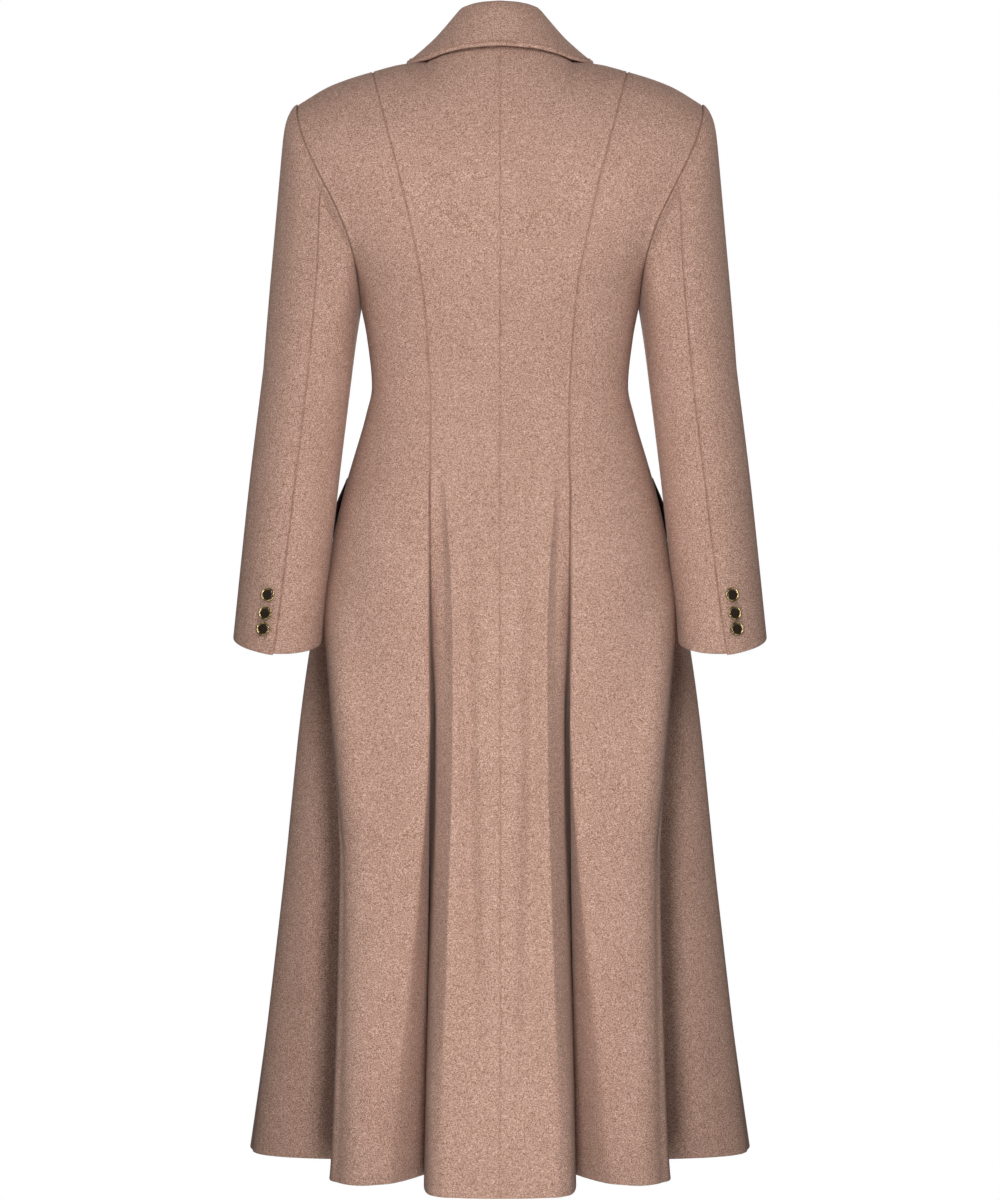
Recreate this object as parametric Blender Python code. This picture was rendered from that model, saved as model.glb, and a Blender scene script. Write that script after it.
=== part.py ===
"""Long fitted wool coat with set-in sleeves and a turned-down collar, filled out with no wearer.

The front faces -Y, the back +Y and the wearer's left +X. The origin is at the base of the neck, where
the coat is worn from. Every panel is a wall of cloth on one shared surface, body(q, v):
q runs round half the coat, 0 centre back, 1 back princess seam, 2 side seam and armhole,
3 front princess seam, 4 front edge. v runs from 0 at the hem to 1 at the underarm and 2 at the top edge.
"""

import math

import bmesh
import bpy
import numpy as np

NAME = "fitted_coat"

# Cloth and seams, in metres
CLOTH = 0.0025
COLLAR_CLOTH = 0.004
COLLAR_EDGE_CLOTH = 0.0025
FLAP_CLOTH = 0.003
SEAM_GAP = 0.0003
SLEEVE_GAP = 0.0008
LAP_DEPTH = 0.0036
LAP_FROM = 0.22
LAP_EASE = 0.28

# Steps for slopes and for staying within a panel
STEP = 0.0005
EDGE = 1e-6

# Body sections from the hem to the underarm: their roundness, then a row for each level
ROUNDNESS = 3.0
LEVEL_COLUMNS = ("z", "half_width", "back_seam", "front_seam")
LEVELS = (
    (-1.190, 0.2490, 0.0810, 0.118),
    (-0.912, 0.2285, 0.0780, 0.105),
    (-0.648, 0.2100, 0.0755, 0.092),
    (-0.541, 0.1900, 0.0745, 0.086),
    (-0.442, 0.1620, 0.0738, 0.080),
    (-0.3845, 0.1455, 0.0738, 0.078),
    (-0.3540, 0.1392, 0.0750, 0.080),
    (-0.300, 0.1445, 0.0782, 0.087),
    (-0.2645, 0.1515, 0.0813, 0.094),
)
HEM = LEVELS[0][0]
UNDERARM, UNDERARM_WIDTH, BACK_SEAM_X, FRONT_SEAM_X = LEVELS[-1]
ROW_CROWDING = 1.5

# Depth of the sections behind and before the side seams, from the hem to the neck
DEPTH_COLUMNS = ("z", "back", "front")
DEPTHS = (
    (-1.190, 0.200, 0.195),
    (-0.912, 0.177, 0.170),
    (-0.648, 0.153, 0.143),
    (-0.541, 0.137, 0.128),
    (-0.442, 0.112, 0.112),
    (-0.3845, 0.096, 0.106),
    (-0.348, 0.089, 0.107),
    (-0.300, 0.096, 0.117),
    (-0.2645, 0.1035, 0.126),
    (-0.200, 0.1115, 0.1275),
    (-0.150, 0.1120, 0.120),
    (-0.050, 0.099, 0.105),
    (0.030, 0.085, 0.100),
)

# Pleats: where they open, the valley at each seam and the lobe of each gore, at the hem
PLEAT_TOP = -0.448
PLEAT_EASE = 0.10
SIDE_LEAD = 0.57
SIDE_LEAD_POWER = 0.75
SIDE_LEAD_FROM = 0.10
SIDE_LEAD_EASE = 0.36
SIDE_LEAD_BACK = 0.40
SIDE_LEAD_FRONT = 0.15
WALL_TOP = -0.627
WALL_LEAST = 0.50
VALLEYS = {  # x, y
    "back_princess": (0.0775, 0.105),
    "side": (0.162, 0.026),
    "front_princess": (0.152, -0.120),
}
GORE_COLUMNS = ("crest_x", "crest_y", "half_width", "facing", "rise", "fall", "bow", "pull")
GORES = {
    "back": (0.0, 0.2295, 0.050, 0.0, 0.215, 0.215, 0.005, 0.9),
    "side_back": (0.146, 0.155, 0.026, 15.0, 0.10, 0.17, 0.013, 0.5),
    "side_front": (0.2708, -0.058, 0.030, 92.0, 0.24, 0.22, 0.006, 1.0),
    "front": (0.0, -0.216, 0.100, 180.0, 0.16, 0.16, 0.006, 0.9),
}
FRONT_REACH = 0.62

# Upper body: top line of the shoulder, neckline, princess seams and armhole
SHOULDER_COLUMNS = ("x", "z")
SHOULDER = (
    (0.078, 0.0005),
    (0.102, -0.0010),
    (0.1384, -0.009),
    (0.182, -0.0226),
    (0.218, -0.0465),
)
NECK_X, NECK_Z = SHOULDER[0]
PRINCESS_X = SHOULDER[2][0]
SHOULDER_X, SHOULDER_Z = SHOULDER[-1]
TURN_START = -0.140
TURN_ROUNDNESS = 2.4
BACK_NECK_Z = 0.012
FRONT_NECK_Z = -0.055
BACK_NECK_RISE = 0.048
FRONT_NECK_RISE = -0.033
SEAM_PULLS = (0.55, 1.05)
ARM_WIDTH = 0.250
ARM_SPREAD = (0.42, 1.43, -0.85)
ARMHOLE_POWER = 1.2
ARM_ROUNDNESS = 5.0
ARM_ROUND_BY = 0.3

# Sleeves: the ring at the upper arm and at the cuff
SLEEVE_COLUMNS = ("z", "x", "y", "half_width", "half_depth")
SLEEVE = (
    (-0.6273, 0.2378, 0.062, 0.0472, 0.050),
    (-0.470, 0.2220, 0.050, 0.0478, 0.054),
    (-0.335, 0.2077, 0.022, 0.0483, 0.056),
)
UPPER_ARM = SLEEVE[-1][0]
CUFF = SLEEVE[0][0]
CUFF_TILT = 0.0142
CUFF_SLANT = 0.0028
CAP_ROLL = 0.0135
CAP_TURN = 0.035
CAP_SHARE = 0.45
CAP_CROWDING = 1.6
CAP_WIDE = 0.5
CAP_DEEP = 0.4
SLEEVE_BACK_SEAM = (0.268, 0.236, 0.255)
SLEEVE_FRONT_SEAM = 0.80

# Collar, by angle from the centre back: distance from the neck's axis and height of three lines
NECK_AXIS_Y = -0.005
COLLAR_COLUMNS = ("turn", "base_r", "base_z", "roll_r", "roll_z", "edge_r", "edge_z")
COLLAR = (
    (0.0, 0.0634, 0.0128, 0.0630, 0.0560, 0.0770, 0.0028),
    (30.0, 0.0688, 0.0106, 0.0560, 0.0546, 0.0835, 0.0012),
    (45.0, 0.0738, 0.0082, 0.0515, 0.0530, 0.0880, -0.0012),
    (60.0, 0.0775, 0.0042, 0.0470, 0.0500, 0.0935, -0.0060),
    (75.0, 0.0772, 0.0022, 0.0445, 0.0455, 0.0962, 0.0012),
    (90.0, 0.0762, 0.0016, 0.0430, 0.0405, 0.0965, 0.0034),
    (112.0, 0.0742, -0.0118, 0.0470, 0.0280, 0.1055, -0.0040),
    (135.0, 0.0702, -0.0312, 0.0550, 0.0100, 0.1215, -0.0305),
    (180.0, 0.0678, -0.0542, 0.0640, -0.0220, 0.1260, -0.1080),
)
COLLAR_END = 175.0
COLLAR_SPREAD = 17.0
COLLAR_ROLL_SHARE = 0.42
COLLAR_LEAN = 0.25
COLLAR_STAND_PULL = 0.55
COLLAR_FALL_PULL = 0.24
COLLAR_EDGE_PULL = 1.1
COLLAR_STEPS = (27, 12)

# Pocket flaps, on the side fronts
FLAP_TOP = -0.452
FLAP_BOTTOM = -0.512
FLAP_FROM = 2.05
FLAP_TO = 2.72
FLAP_STAND = 0.0045
FLAP_CORNER = 0.008
FLAP_CORNER_POWER = 6
FLAP_BOW_FROM = 0.04
FLAP_BOW_SPAN = 0.72
FLAP_BOW_POWER = 1.5
FLAP_STEPS = (9, 7)

# Buttons
CUFF_BUTTON = 0.0075
FRONT_BUTTON = 0.012
CUFF_BUTTON_Z = (-0.5805, -0.600, -0.6168)
CUFF_BUTTON_INSET = 0.043
FRONT_BUTTON_Z = (-0.105, -0.190, -0.275, -0.360, -0.448)
BUTTON_PROFILE = (  # distance from the axis and height, as shares of the radius
    (0.0, 0.0),
    (0.75, 0.0),
    (0.95, 0.16),
    (1.0, 0.34),
    (0.86, 0.50),
    (0.62, 0.46),
    (0.0, 0.56),
)
BUTTON_SIDES = 14
BUTTON_GAP = 0.0004

# Mesh columns across each panel, as shares of it, and rows up it
PANEL_SHARES = {
    "back": (0.0, 0.2, 0.4, 0.5, 0.57, 0.64, 0.76, 0.89, 1.0),
    "side_back": (0.0, 0.04, 0.1, 0.22, 0.4, 0.58, 0.73, 0.83, 0.9, 0.96, 1.0),
    "side_front": (0.0, 0.08, 0.17, 0.25, 0.4, 0.6, 0.76, 0.84, 0.92, 1.0),
    "front": (0.0, 0.09, 0.18, 0.26, 0.4, 0.53, 0.67, 0.5 / FRONT_REACH, 1.0),
}
CENTRE_COLUMN = 7
LOWER_ROWS = 17
UPPER_ROWS = 9
SLEEVE_ROWS = 16
SLEEVE_TURNS = {
    "top": (5, 6, 7, 8, 9, 10, 11, 12),
    "under": (-2, -1, 0, 1, 2, 3),
}
TURN_PARTS = 16

# Colours, as linear red, green and blue
CAMEL = (0.47, 0.29, 0.225)
DARK_BROWN = (0.035, 0.02, 0.017)
OLD_BRASS = (0.13, 0.085, 0.05)


def read(table, columns, name, at):
    """One column of a table at the given values of its first column, on a smooth curve with no overshoot."""
    rows = np.array(table, float)
    x = rows[:, 0]
    y = rows[:, columns.index(name)]
    width = np.diff(x)
    slope = np.diff(y) / width
    bend = np.zeros_like(x)
    same_way = slope[:-1] * slope[1:] > 0
    before = 2 * width[1:] + width[:-1]
    after = width[1:] + 2 * width[:-1]
    left = np.where(same_way, slope[:-1], 1.0)
    right = np.where(same_way, slope[1:], 1.0)
    bend[1:-1] = np.where(same_way, (before + after) / (before / left + after / right), 0.0)
    bend[0] = slope[0]
    bend[-1] = slope[-1]
    at = np.clip(at, x[0], x[-1])
    i = np.clip(np.searchsorted(x, at, side="right") - 1, 0, len(width) - 1)
    t = (at - x[i]) / width[i]
    return hermite(y[i], y[i + 1], bend[i] * width[i], bend[i + 1] * width[i], t)


def hermite(start, end, start_pull, end_pull, t):
    """A cubic from start to end with the given pulls at its ends."""
    rest = 1 - t
    return (
        start * (1 + 2 * t) * rest**2
        + start_pull * t * rest**2
        + end * t**2 * (3 - 2 * t)
        - end_pull * t**2 * rest
    )


def soft_step(value):
    """0 below 0, 1 above 1, a smooth climb between."""
    t = np.clip(value, 0.0, 1.0)
    return t * t * (3 - 2 * t)


def signed_power(value, power):
    """A power that keeps the sign."""
    return np.sign(value) * np.abs(value) ** power


def unit(vectors):
    """Vectors brought to length one."""
    return vectors / np.maximum(np.linalg.norm(vectors, axis=-1, keepdims=True), 1e-12)


def section_angle(q, z):
    """Angle round a section, 0 at the centre back, that puts each seam at its tabled distance across."""
    half = read(LEVELS, LEVEL_COLUMNS, "half_width", z)
    back_seam = np.arcsin((read(LEVELS, LEVEL_COLUMNS, "back_seam", z) / half) ** (ROUNDNESS / 2))
    front_seam = np.arcsin((read(LEVELS, LEVEL_COLUMNS, "front_seam", z) / half) ** (ROUNDNESS / 2))
    side = math.pi / 2
    across_back = back_seam * q
    across_side_back = back_seam + (side - back_seam) * (q - 1)
    across_side_front = side + (math.pi - front_seam - side) * (q - 2)
    across_front = math.pi - front_seam + 2 * front_seam * FRONT_REACH * (q - 3)
    at_front = np.where(q < 3, across_side_front, across_front)
    return np.where(q < 1, across_back, np.where(q < 2, across_side_back, at_front))


def plain_section(q, z):
    """The unpleated section of the body at a height: a rounded ellipse, deeper at the front or the back."""
    angle = section_angle(q, z)
    depth = np.where(
        np.cos(angle) > 0,
        read(DEPTHS, DEPTH_COLUMNS, "back", z),
        read(DEPTHS, DEPTH_COLUMNS, "front", z),
    )
    x = read(LEVELS, LEVEL_COLUMNS, "half_width", z) * signed_power(np.sin(angle), 2 / ROUNDNESS)
    y = depth * signed_power(np.cos(angle), 2 / ROUNDNESS)
    return np.stack([x, y], axis=-1)


def lobe(share, start, end, gore):
    """A gore's hem line: up from the valley at its start, over its crest and down to its end valley."""
    crest_x, crest_y, half, facing, rise, fall, bow, pull = gore
    turn = math.radians(facing)
    along = np.array([math.cos(turn), -math.sin(turn)])
    out = np.array([math.sin(turn), math.cos(turn)])
    crest = np.array([crest_x, crest_y])
    first = crest - half * along
    last = crest + half * along
    up = np.clip(share / rise, 0, 1)[..., None]
    over = np.clip((share - rise) / (1 - rise - fall), 0, 1)[..., None]
    down = np.clip((share - 1 + fall) / fall, 0, 1)[..., None]
    up_pull = pull * np.linalg.norm(first - start)
    down_pull = pull * np.linalg.norm(end - last)
    rising = hermite(start, first, out * up_pull, along * up_pull, up)
    crossing = first + (last - first) * over + out * bow * 4 * over * (1 - over)
    falling = hermite(last, end, along * down_pull, -out * down_pull, down)
    return np.where(up < 1, rising, np.where(over < 1, crossing, falling))


def hem_line(q):
    """The pleated hem, lobe by lobe from the centre back to the front edge."""
    valley = {name: np.array(point) for name, point in VALLEYS.items()}
    mirror = np.array([-1.0, 1.0])
    back = lobe(0.5 + 0.5 * q, valley["back_princess"] * mirror, valley["back_princess"], GORES["back"])
    side_back = lobe(q - 1, valley["back_princess"], valley["side"], GORES["side_back"])
    side_front = lobe(q - 2, valley["side"], valley["front_princess"], GORES["side_front"])
    front_share = FRONT_REACH * (q - 3)
    front = lobe(front_share, valley["front_princess"], valley["front_princess"] * mirror, GORES["front"])
    q = q[..., None]
    return np.where(q < 1, back, np.where(q < 2, side_back, np.where(q < 3, side_front, front)))


def pleat_opening(q, z):
    """Share of the hem's pleats at a height: none above their top, an eased ramp, sooner by the side seam."""
    fall = np.clip((PLEAT_TOP - z) / (PLEAT_TOP - HEM), 0, 1)
    ramp = fall**2 / (fall + PLEAT_EASE) * (1 + PLEAT_EASE)
    lead = SIDE_LEAD * soft_step((fall - SIDE_LEAD_FROM) / SIDE_LEAD_EASE) * (1 - fall) ** SIDE_LEAD_POWER
    reach = np.where(q < 2, SIDE_LEAD_BACK, SIDE_LEAD_FRONT)
    return ramp + lead * np.exp(-(((q - 2) / reach) ** 2))


def pleat_place(q, z):
    """Place on the hem's lobes: the side back's inner wall closes up towards the top of the back pleat."""
    wall = GORES["side_back"][GORE_COLUMNS.index("rise")]
    opened = np.clip((WALL_TOP - z) / (WALL_TOP - HEM), WALL_LEAST, 1)
    share = np.clip(q - 1, 0, 1)
    on_wall = share / opened
    beyond = wall + (share - wall * opened) * (1 - wall) / (1 - wall * opened)
    moved = 1 + np.where(share < wall * opened, on_wall, beyond)
    return np.where((q > 1) & (q < 2), moved, q)


def lower_body(q, z):
    """The body below the underarm: the plain section, moved towards the pleated hem."""
    at_hem = np.full_like(z, HEM)
    place = pleat_place(q, z)
    fold = hem_line(place) - plain_section(place, at_hem)
    pleated = plain_section(q, z) + pleat_opening(q, z)[..., None] * fold
    return np.concatenate([pleated, z[..., None]], axis=-1)


def shoulder_top(x, is_back):
    """Height of the top line over a distance from the centre, carried on across the neck."""
    rise = np.where(is_back, BACK_NECK_RISE, FRONT_NECK_RISE)
    inside = NECK_Z + rise * (1 - np.clip(x / NECK_X, -1, 1) ** 2)
    return np.where(np.abs(x) < NECK_X, inside, read(SHOULDER, SHOULDER_COLUMNS, "z", np.abs(x)))


def chest_depth(x, z, is_back):
    """Depth of the upper body: a rounded section that widens to the arms and turns over at the shoulder."""
    climb = (z - UNDERARM) / (SHOULDER_Z - UNDERARM)
    first, second, third = ARM_SPREAD
    spread = first * climb + second * climb**2 + third * climb**3
    width = UNDERARM_WIDTH + (ARM_WIDTH - UNDERARM_WIDTH) * spread
    roundness = ROUNDNESS + (ARM_ROUNDNESS - ROUNDNESS) * soft_step(climb / ARM_ROUND_BY)
    side = (1 - np.clip(np.abs(x) / width, 0, 1) ** roundness) ** (1 / roundness)
    turn = np.clip((z - TURN_START) / (shoulder_top(x, is_back) - TURN_START), 0, 1)
    over = (1 - turn**TURN_ROUNDNESS) ** (1 / TURN_ROUNDNESS)
    back = read(DEPTHS, DEPTH_COLUMNS, "back", z)
    front = read(DEPTHS, DEPTH_COLUMNS, "front", z)
    return np.where(is_back, back, -front) * side * over


def upper_body(q, rise, is_back):
    """The body above the underarm: lines climb from the underarm section to the neckline and shoulder."""
    ring = plain_section(q, np.full_like(q, UNDERARM))[..., 0]
    inner_seam = np.where(is_back, BACK_SEAM_X, FRONT_SEAM_X)
    lean = hermite(0.0, 1.0, *SEAM_PULLS, rise)
    seam_x = inner_seam + (PRINCESS_X - inner_seam) * lean
    scoop = ((1 - np.cos(math.pi * rise)) / 2) ** ARMHOLE_POWER
    armhole_x = UNDERARM_WIDTH + (SHOULDER_X - UNDERARM_WIDTH) * scoop
    outward = np.where(is_back, q - 1, 3 - q)
    start_share = (ring - inner_seam) / (UNDERARM_WIDTH - inner_seam)
    share = start_share + (outward - start_share) * rise
    outer_x = seam_x + (armhole_x - seam_x) * share
    outer_top = PRINCESS_X + (SHOULDER_X - PRINCESS_X) * outward
    neck_share = np.where(is_back, q, 1 - FRONT_REACH * 2 * (q - 3))
    inner_top = PRINCESS_X * neck_share
    inner_x = ring + (inner_top - ring) * lean
    outer = outward > 0
    x = np.where(outer, outer_x, inner_x)
    top_x = np.where(outer, outer_top, inner_top)
    across_neck = np.clip(top_x / NECK_X, -1, 1) ** 2
    neck_z = np.where(is_back, BACK_NECK_Z, FRONT_NECK_Z)
    neckline = neck_z + (NECK_Z - neck_z) * across_neck
    top_z = np.where(np.abs(top_x) < NECK_X, neckline, shoulder_top(top_x, is_back))
    z = UNDERARM + (top_z - UNDERARM) * rise
    return np.stack([x, chest_depth(x, z, is_back), z], axis=-1)


def body(q, v, is_back):
    """The coat's body, wearer's left half, as points for q round it and v up it."""
    q, v = np.broadcast_arrays(np.asarray(q, float), np.asarray(v, float))
    low = 1 - (1 - np.clip(v, 0, 1)) ** ROW_CROWDING
    rise = (1 - np.cos(math.pi * np.clip(v - 1, 0, 1))) / 2
    below = lower_body(q, HEM + (UNDERARM - HEM) * low)
    above = upper_body(q, rise, is_back)
    return np.where((v <= 1)[..., None], below, above)


def height_to_v(z):
    """The v of a height between the hem and the underarm."""
    return 1 - (1 - (np.asarray(z, float) - HEM) / (UNDERARM - HEM)) ** (1 / ROW_CROWDING)


def normals(surface, a, b, a_range, b_range):
    """Unit normals of a surface by differences that stay within the given ranges of its two variables."""
    a, b = np.broadcast_arrays(np.asarray(a, float), np.asarray(b, float))
    a_low = np.clip(a - STEP, *a_range)
    a_high = np.clip(a + STEP, *a_range)
    b_low = np.clip(b - STEP, *b_range)
    b_high = np.clip(b + STEP, *b_range)
    along_a = surface(a_high, b) - surface(a_low, b)
    along_b = surface(a, b_high) - surface(a, b_low)
    return unit(np.cross(along_a, along_b))


def body_normals(q, v, gore):
    """Outward normals of one gore, shared with its neighbour along a seam."""
    is_back = gore < 2

    def own(a, b):
        return body(a, b, is_back)

    inside = (gore + EDGE, gore + 1 - EDGE)
    found = normals(own, q, v, inside, (0, 2))
    for line, neighbour in ((gore, gore - 1), (gore + 1, gore + 1)):
        on_line = np.abs(q - line) < EDGE
        if line == 0:
            found[on_line, 0] = 0.0
        elif line < 4:
            other_back = neighbour < 2

            def other(a, b, other_back=other_back):
                return body(a, b, other_back)

            beside = normals(other, q, v, (neighbour + EDGE, neighbour + 1 - EDGE), (0, 2))
            sewn = on_line & ((line != 2) | (v < 1 + EDGE))
            found = np.where(sewn[..., None], found + beside, found)
    return -unit(found)


def lap_inset(share):
    """How far the under front is let in, so that the upper front lies over it."""
    return LAP_DEPTH * soft_step((share - LAP_FROM) / LAP_EASE)


def panel_faces(gore, shares, under_lap):
    """Outer and inner points of one panel, set back by half a seam gap along its seams."""
    is_back = gore < 2
    q = gore + np.array(shares)[:, None]
    v = np.concatenate([np.linspace(0, 1, LOWER_ROWS), np.linspace(1, 2, UPPER_ROWS)[1:]])[None, :]
    q, v = np.broadcast_arrays(q, v)
    outer = body(np.clip(q, gore + EDGE, gore + 1 - EDGE), v, is_back)
    out = body_normals(q, v, gore)
    if under_lap:
        outer = outer - out * lap_inset(q - gore)[..., None]
    up = np.gradient(outer, axis=1)
    across = unit(np.cross(up, out))
    inward = np.sign(np.sum(across[0] * (outer[1] - outer[0]), axis=-1))[:, None] * across[0]
    outer[0] += inward * SEAM_GAP / 2
    inward = np.sign(np.sum(across[-1] * (outer[-2] - outer[-1]), axis=-1))[:, None] * across[-1]
    outer[-1] += inward * SEAM_GAP / 2
    outer[:, -1, 1] += SEAM_GAP / 2 * (1 if is_back else -1)
    return outer, outer - out * CLOTH


def arm_ring(turn, z):
    """The sleeve's ring at a height: turn 0 inner, 0.25 back, 0.5 outer, 0.75 front."""
    angle = 2 * math.pi * turn
    half_width = read(SLEEVE, SLEEVE_COLUMNS, "half_width", z)
    half_depth = read(SLEEVE, SLEEVE_COLUMNS, "half_depth", z)
    x = read(SLEEVE, SLEEVE_COLUMNS, "x", z) - half_width * np.cos(angle)
    y = read(SLEEVE, SLEEVE_COLUMNS, "y", z) + half_depth * np.sin(angle)
    return np.stack([x, y, z], axis=-1)


def armhole(turn):
    """The armhole loop, from the underarm up the back to the shoulder and down the front."""
    turn = turn % 1.0
    at_back = turn < 0.5
    climb = np.where(at_back, turn / 0.5, (1 - turn) / 0.5)
    rise = (1 - np.cos(math.pi * climb)) / 2
    back = upper_body(np.full_like(turn, 2 - 1e-9), rise, np.full(turn.shape, True))
    front = upper_body(np.full_like(turn, 2 + 1e-9), rise, np.full(turn.shape, False))
    loop = np.where(at_back[..., None], back, front)
    loop[..., 0] += SLEEVE_GAP
    return loop, rise


def sleeve(turn, down):
    """The wearer's left sleeve: a rolled cap from the armhole to the upper arm, then rings to the cuff."""
    turn, down = np.broadcast_arrays(np.asarray(turn, float), np.asarray(down, float))
    start, climb = armhole(turn)
    angle = 2 * math.pi * turn
    upper = arm_ring(turn, np.full_like(turn, UPPER_ARM))
    ahead = arm_ring(turn, np.full_like(turn, UPPER_ARM - STEP))
    t = np.clip(down / CAP_SHARE, 0, 1)[..., None]
    fall = (start[..., 2:] - upper[..., 2:]) / STEP
    cap = hermite(start, upper, upper - start, (ahead - upper) * fall, t)
    out = np.stack([CAP_WIDE * (1 - np.cos(angle)), CAP_DEEP * np.sin(angle), 0 * angle], axis=-1)
    roll = 1 - np.exp(-t / CAP_TURN) - t
    cap = cap + out * CAP_ROLL * climb[..., None] * roll
    cuff_z = CUFF - CUFF_TILT * np.sin(angle) - CUFF_SLANT * np.cos(angle)
    along = np.clip((down - CAP_SHARE) / (1 - CAP_SHARE), 0, 1)
    arm = arm_ring(turn, UPPER_ARM + (CUFF - UPPER_ARM) * along)
    arm[..., 2] = UPPER_ARM + (cuff_z - UPPER_ARM) * along
    return np.where(down[..., None] < CAP_SHARE, cap, arm)


def back_seam_turn(down):
    """Where the sleeve's back seam lies round the sleeve."""
    top, middle, cuff = SLEEVE_BACK_SEAM
    return top * (1 - down) ** 2 + (4 * middle - top - cuff) * down * (1 - down) + cuff * down**2


def sleeve_faces(piece):
    """Outer and inner points of the top or under sleeve, set back along both seams."""
    at_armhole = np.array(SLEEVE_TURNS[piece]) / TURN_PARTS
    first, last = SLEEVE_BACK_SEAM[0], SLEEVE_FRONT_SEAM
    if piece == "under":
        first, last = SLEEVE_FRONT_SEAM - 1, SLEEVE_BACK_SEAM[0]
    share = np.concatenate([[0.0], (at_armhole - first) / (last - first), [1.0]])[:, None]
    step = np.linspace(0, 1, SLEEVE_ROWS)
    on_cap = CAP_SHARE * np.clip(step / 0.5, 0, 1) ** CAP_CROWDING
    on_arm = (1 - CAP_SHARE) * np.clip((step - 0.5) / 0.5, 0, 1)
    share, down = np.broadcast_arrays(share, (on_cap + on_arm)[None, :])
    back = back_seam_turn(down)
    if piece == "top":
        turn = back + (SLEEVE_FRONT_SEAM - back) * share
    else:
        turn = SLEEVE_FRONT_SEAM - 1 + (back - SLEEVE_FRONT_SEAM + 1) * share
    outer = sleeve(turn, down)
    out = normals(sleeve, turn, down, (-2, 2), (0, 1))
    outer, out = np.array(outer), np.array(out)
    up = np.gradient(outer, axis=1)
    across = unit(np.cross(up, out))
    for end, beside in ((0, 1), (-1, -2)):
        way = np.sign(np.sum(across[end] * (outer[beside] - outer[end]), axis=-1))[:, None]
        outer[end] += way * across[end] * SEAM_GAP / 2
    return outer, outer - out * CLOTH


def collar_point(turn, share):
    """The collar by angle and by share of its depth, from the neck seam over the roll to the outer edge."""
    degrees = np.abs(turn)
    line = {name: read(COLLAR, COLLAR_COLUMNS, name, degrees) for name in COLLAR_COLUMNS[1:]}
    base = np.stack([line["base_r"], line["base_z"]], axis=-1)
    roll = np.stack([line["roll_r"], line["roll_z"]], axis=-1)
    edge = np.stack([line["edge_r"], line["edge_z"]], axis=-1)
    stand = np.linalg.norm(roll - base, axis=-1, keepdims=True)
    drop = np.linalg.norm(edge - roll, axis=-1, keepdims=True)
    upward = np.array([0.0, 1.0])
    outward = np.array([1.0, COLLAR_LEAN])
    up = np.clip(share / COLLAR_ROLL_SHARE, 0, 1)[..., None]
    over = np.clip((share - COLLAR_ROLL_SHARE) / (1 - COLLAR_ROLL_SHARE), 0, 1)[..., None]
    standing = hermite(base, roll, upward * stand, outward * stand * COLLAR_STAND_PULL, up)
    falling = hermite(roll, edge, outward * drop * COLLAR_FALL_PULL, (edge - roll) * COLLAR_EDGE_PULL, over)
    reach = np.where(up < 1, standing, falling)
    angle = np.radians(turn - COLLAR_SPREAD * over[..., 0] * signed_power(turn / COLLAR_END, 5))
    x = reach[..., 0] * np.sin(angle)
    y = NECK_AXIS_Y + reach[..., 0] * np.cos(angle)
    return np.stack([x, y, reach[..., 1]], axis=-1)


def collar_faces():
    """Outer and inner points of the collar."""
    turn = np.linspace(-COLLAR_END, COLLAR_END, COLLAR_STEPS[0])[:, None]
    share = np.linspace(0, 1, COLLAR_STEPS[1])[None, :]
    turn, share = np.broadcast_arrays(turn, share)
    outer = collar_point(turn, share)
    out = normals(collar_point, turn, share, (-COLLAR_END, COLLAR_END), (0, 1))
    thickness = COLLAR_CLOTH + (COLLAR_EDGE_CLOTH - COLLAR_CLOTH) * share**3
    return outer, outer + out * thickness[..., None]


def flap_faces():
    """Outer and inner points of a pocket flap, moved out from the side front, bowed, with round corners."""
    share = np.linspace(0, 1, FLAP_STEPS[0])[:, None]
    drop = np.linspace(0, 1, FLAP_STEPS[1])[None, :]
    share, drop = np.broadcast_arrays(share, drop)
    bottom = FLAP_BOTTOM + FLAP_CORNER * np.abs(2 * share - 1) ** FLAP_CORNER_POWER
    q = FLAP_FROM + (FLAP_TO - FLAP_FROM) * share
    v = height_to_v(FLAP_TOP + (bottom - FLAP_TOP) * drop)
    out = body_normals(q, v, 2)
    bowed = np.sin(math.pi * (FLAP_BOW_FROM + FLAP_BOW_SPAN * drop)) ** FLAP_BOW_POWER
    stand = SEAM_GAP + FLAP_STAND * bowed
    inner = body(q, v, False) + out * stand[..., None]
    return inner + out * FLAP_CLOTH, inner


def plain_material(name, colour, roughness, metallic=0.0):
    """A plain material of one colour."""
    material = bpy.data.materials.new(name)
    material.use_nodes = True
    shader = material.node_tree.nodes["Principled BSDF"]
    shader.inputs["Base Color"].default_value = (*colour, 1.0)
    shader.inputs["Roughness"].default_value = roughness
    shader.inputs["Metallic"].default_value = metallic
    return material


def finish(bm, name, material, collection):
    """Turn a finished shape into a named object in the coat's collection."""
    bmesh.ops.recalc_face_normals(bm, faces=bm.faces)
    mesh = bpy.data.meshes.new(name)
    bm.to_mesh(mesh)
    bm.free()
    mesh.materials.append(material)
    thing = bpy.data.objects.new(name, mesh)
    collection.objects.link(thing)
    return thing


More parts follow.
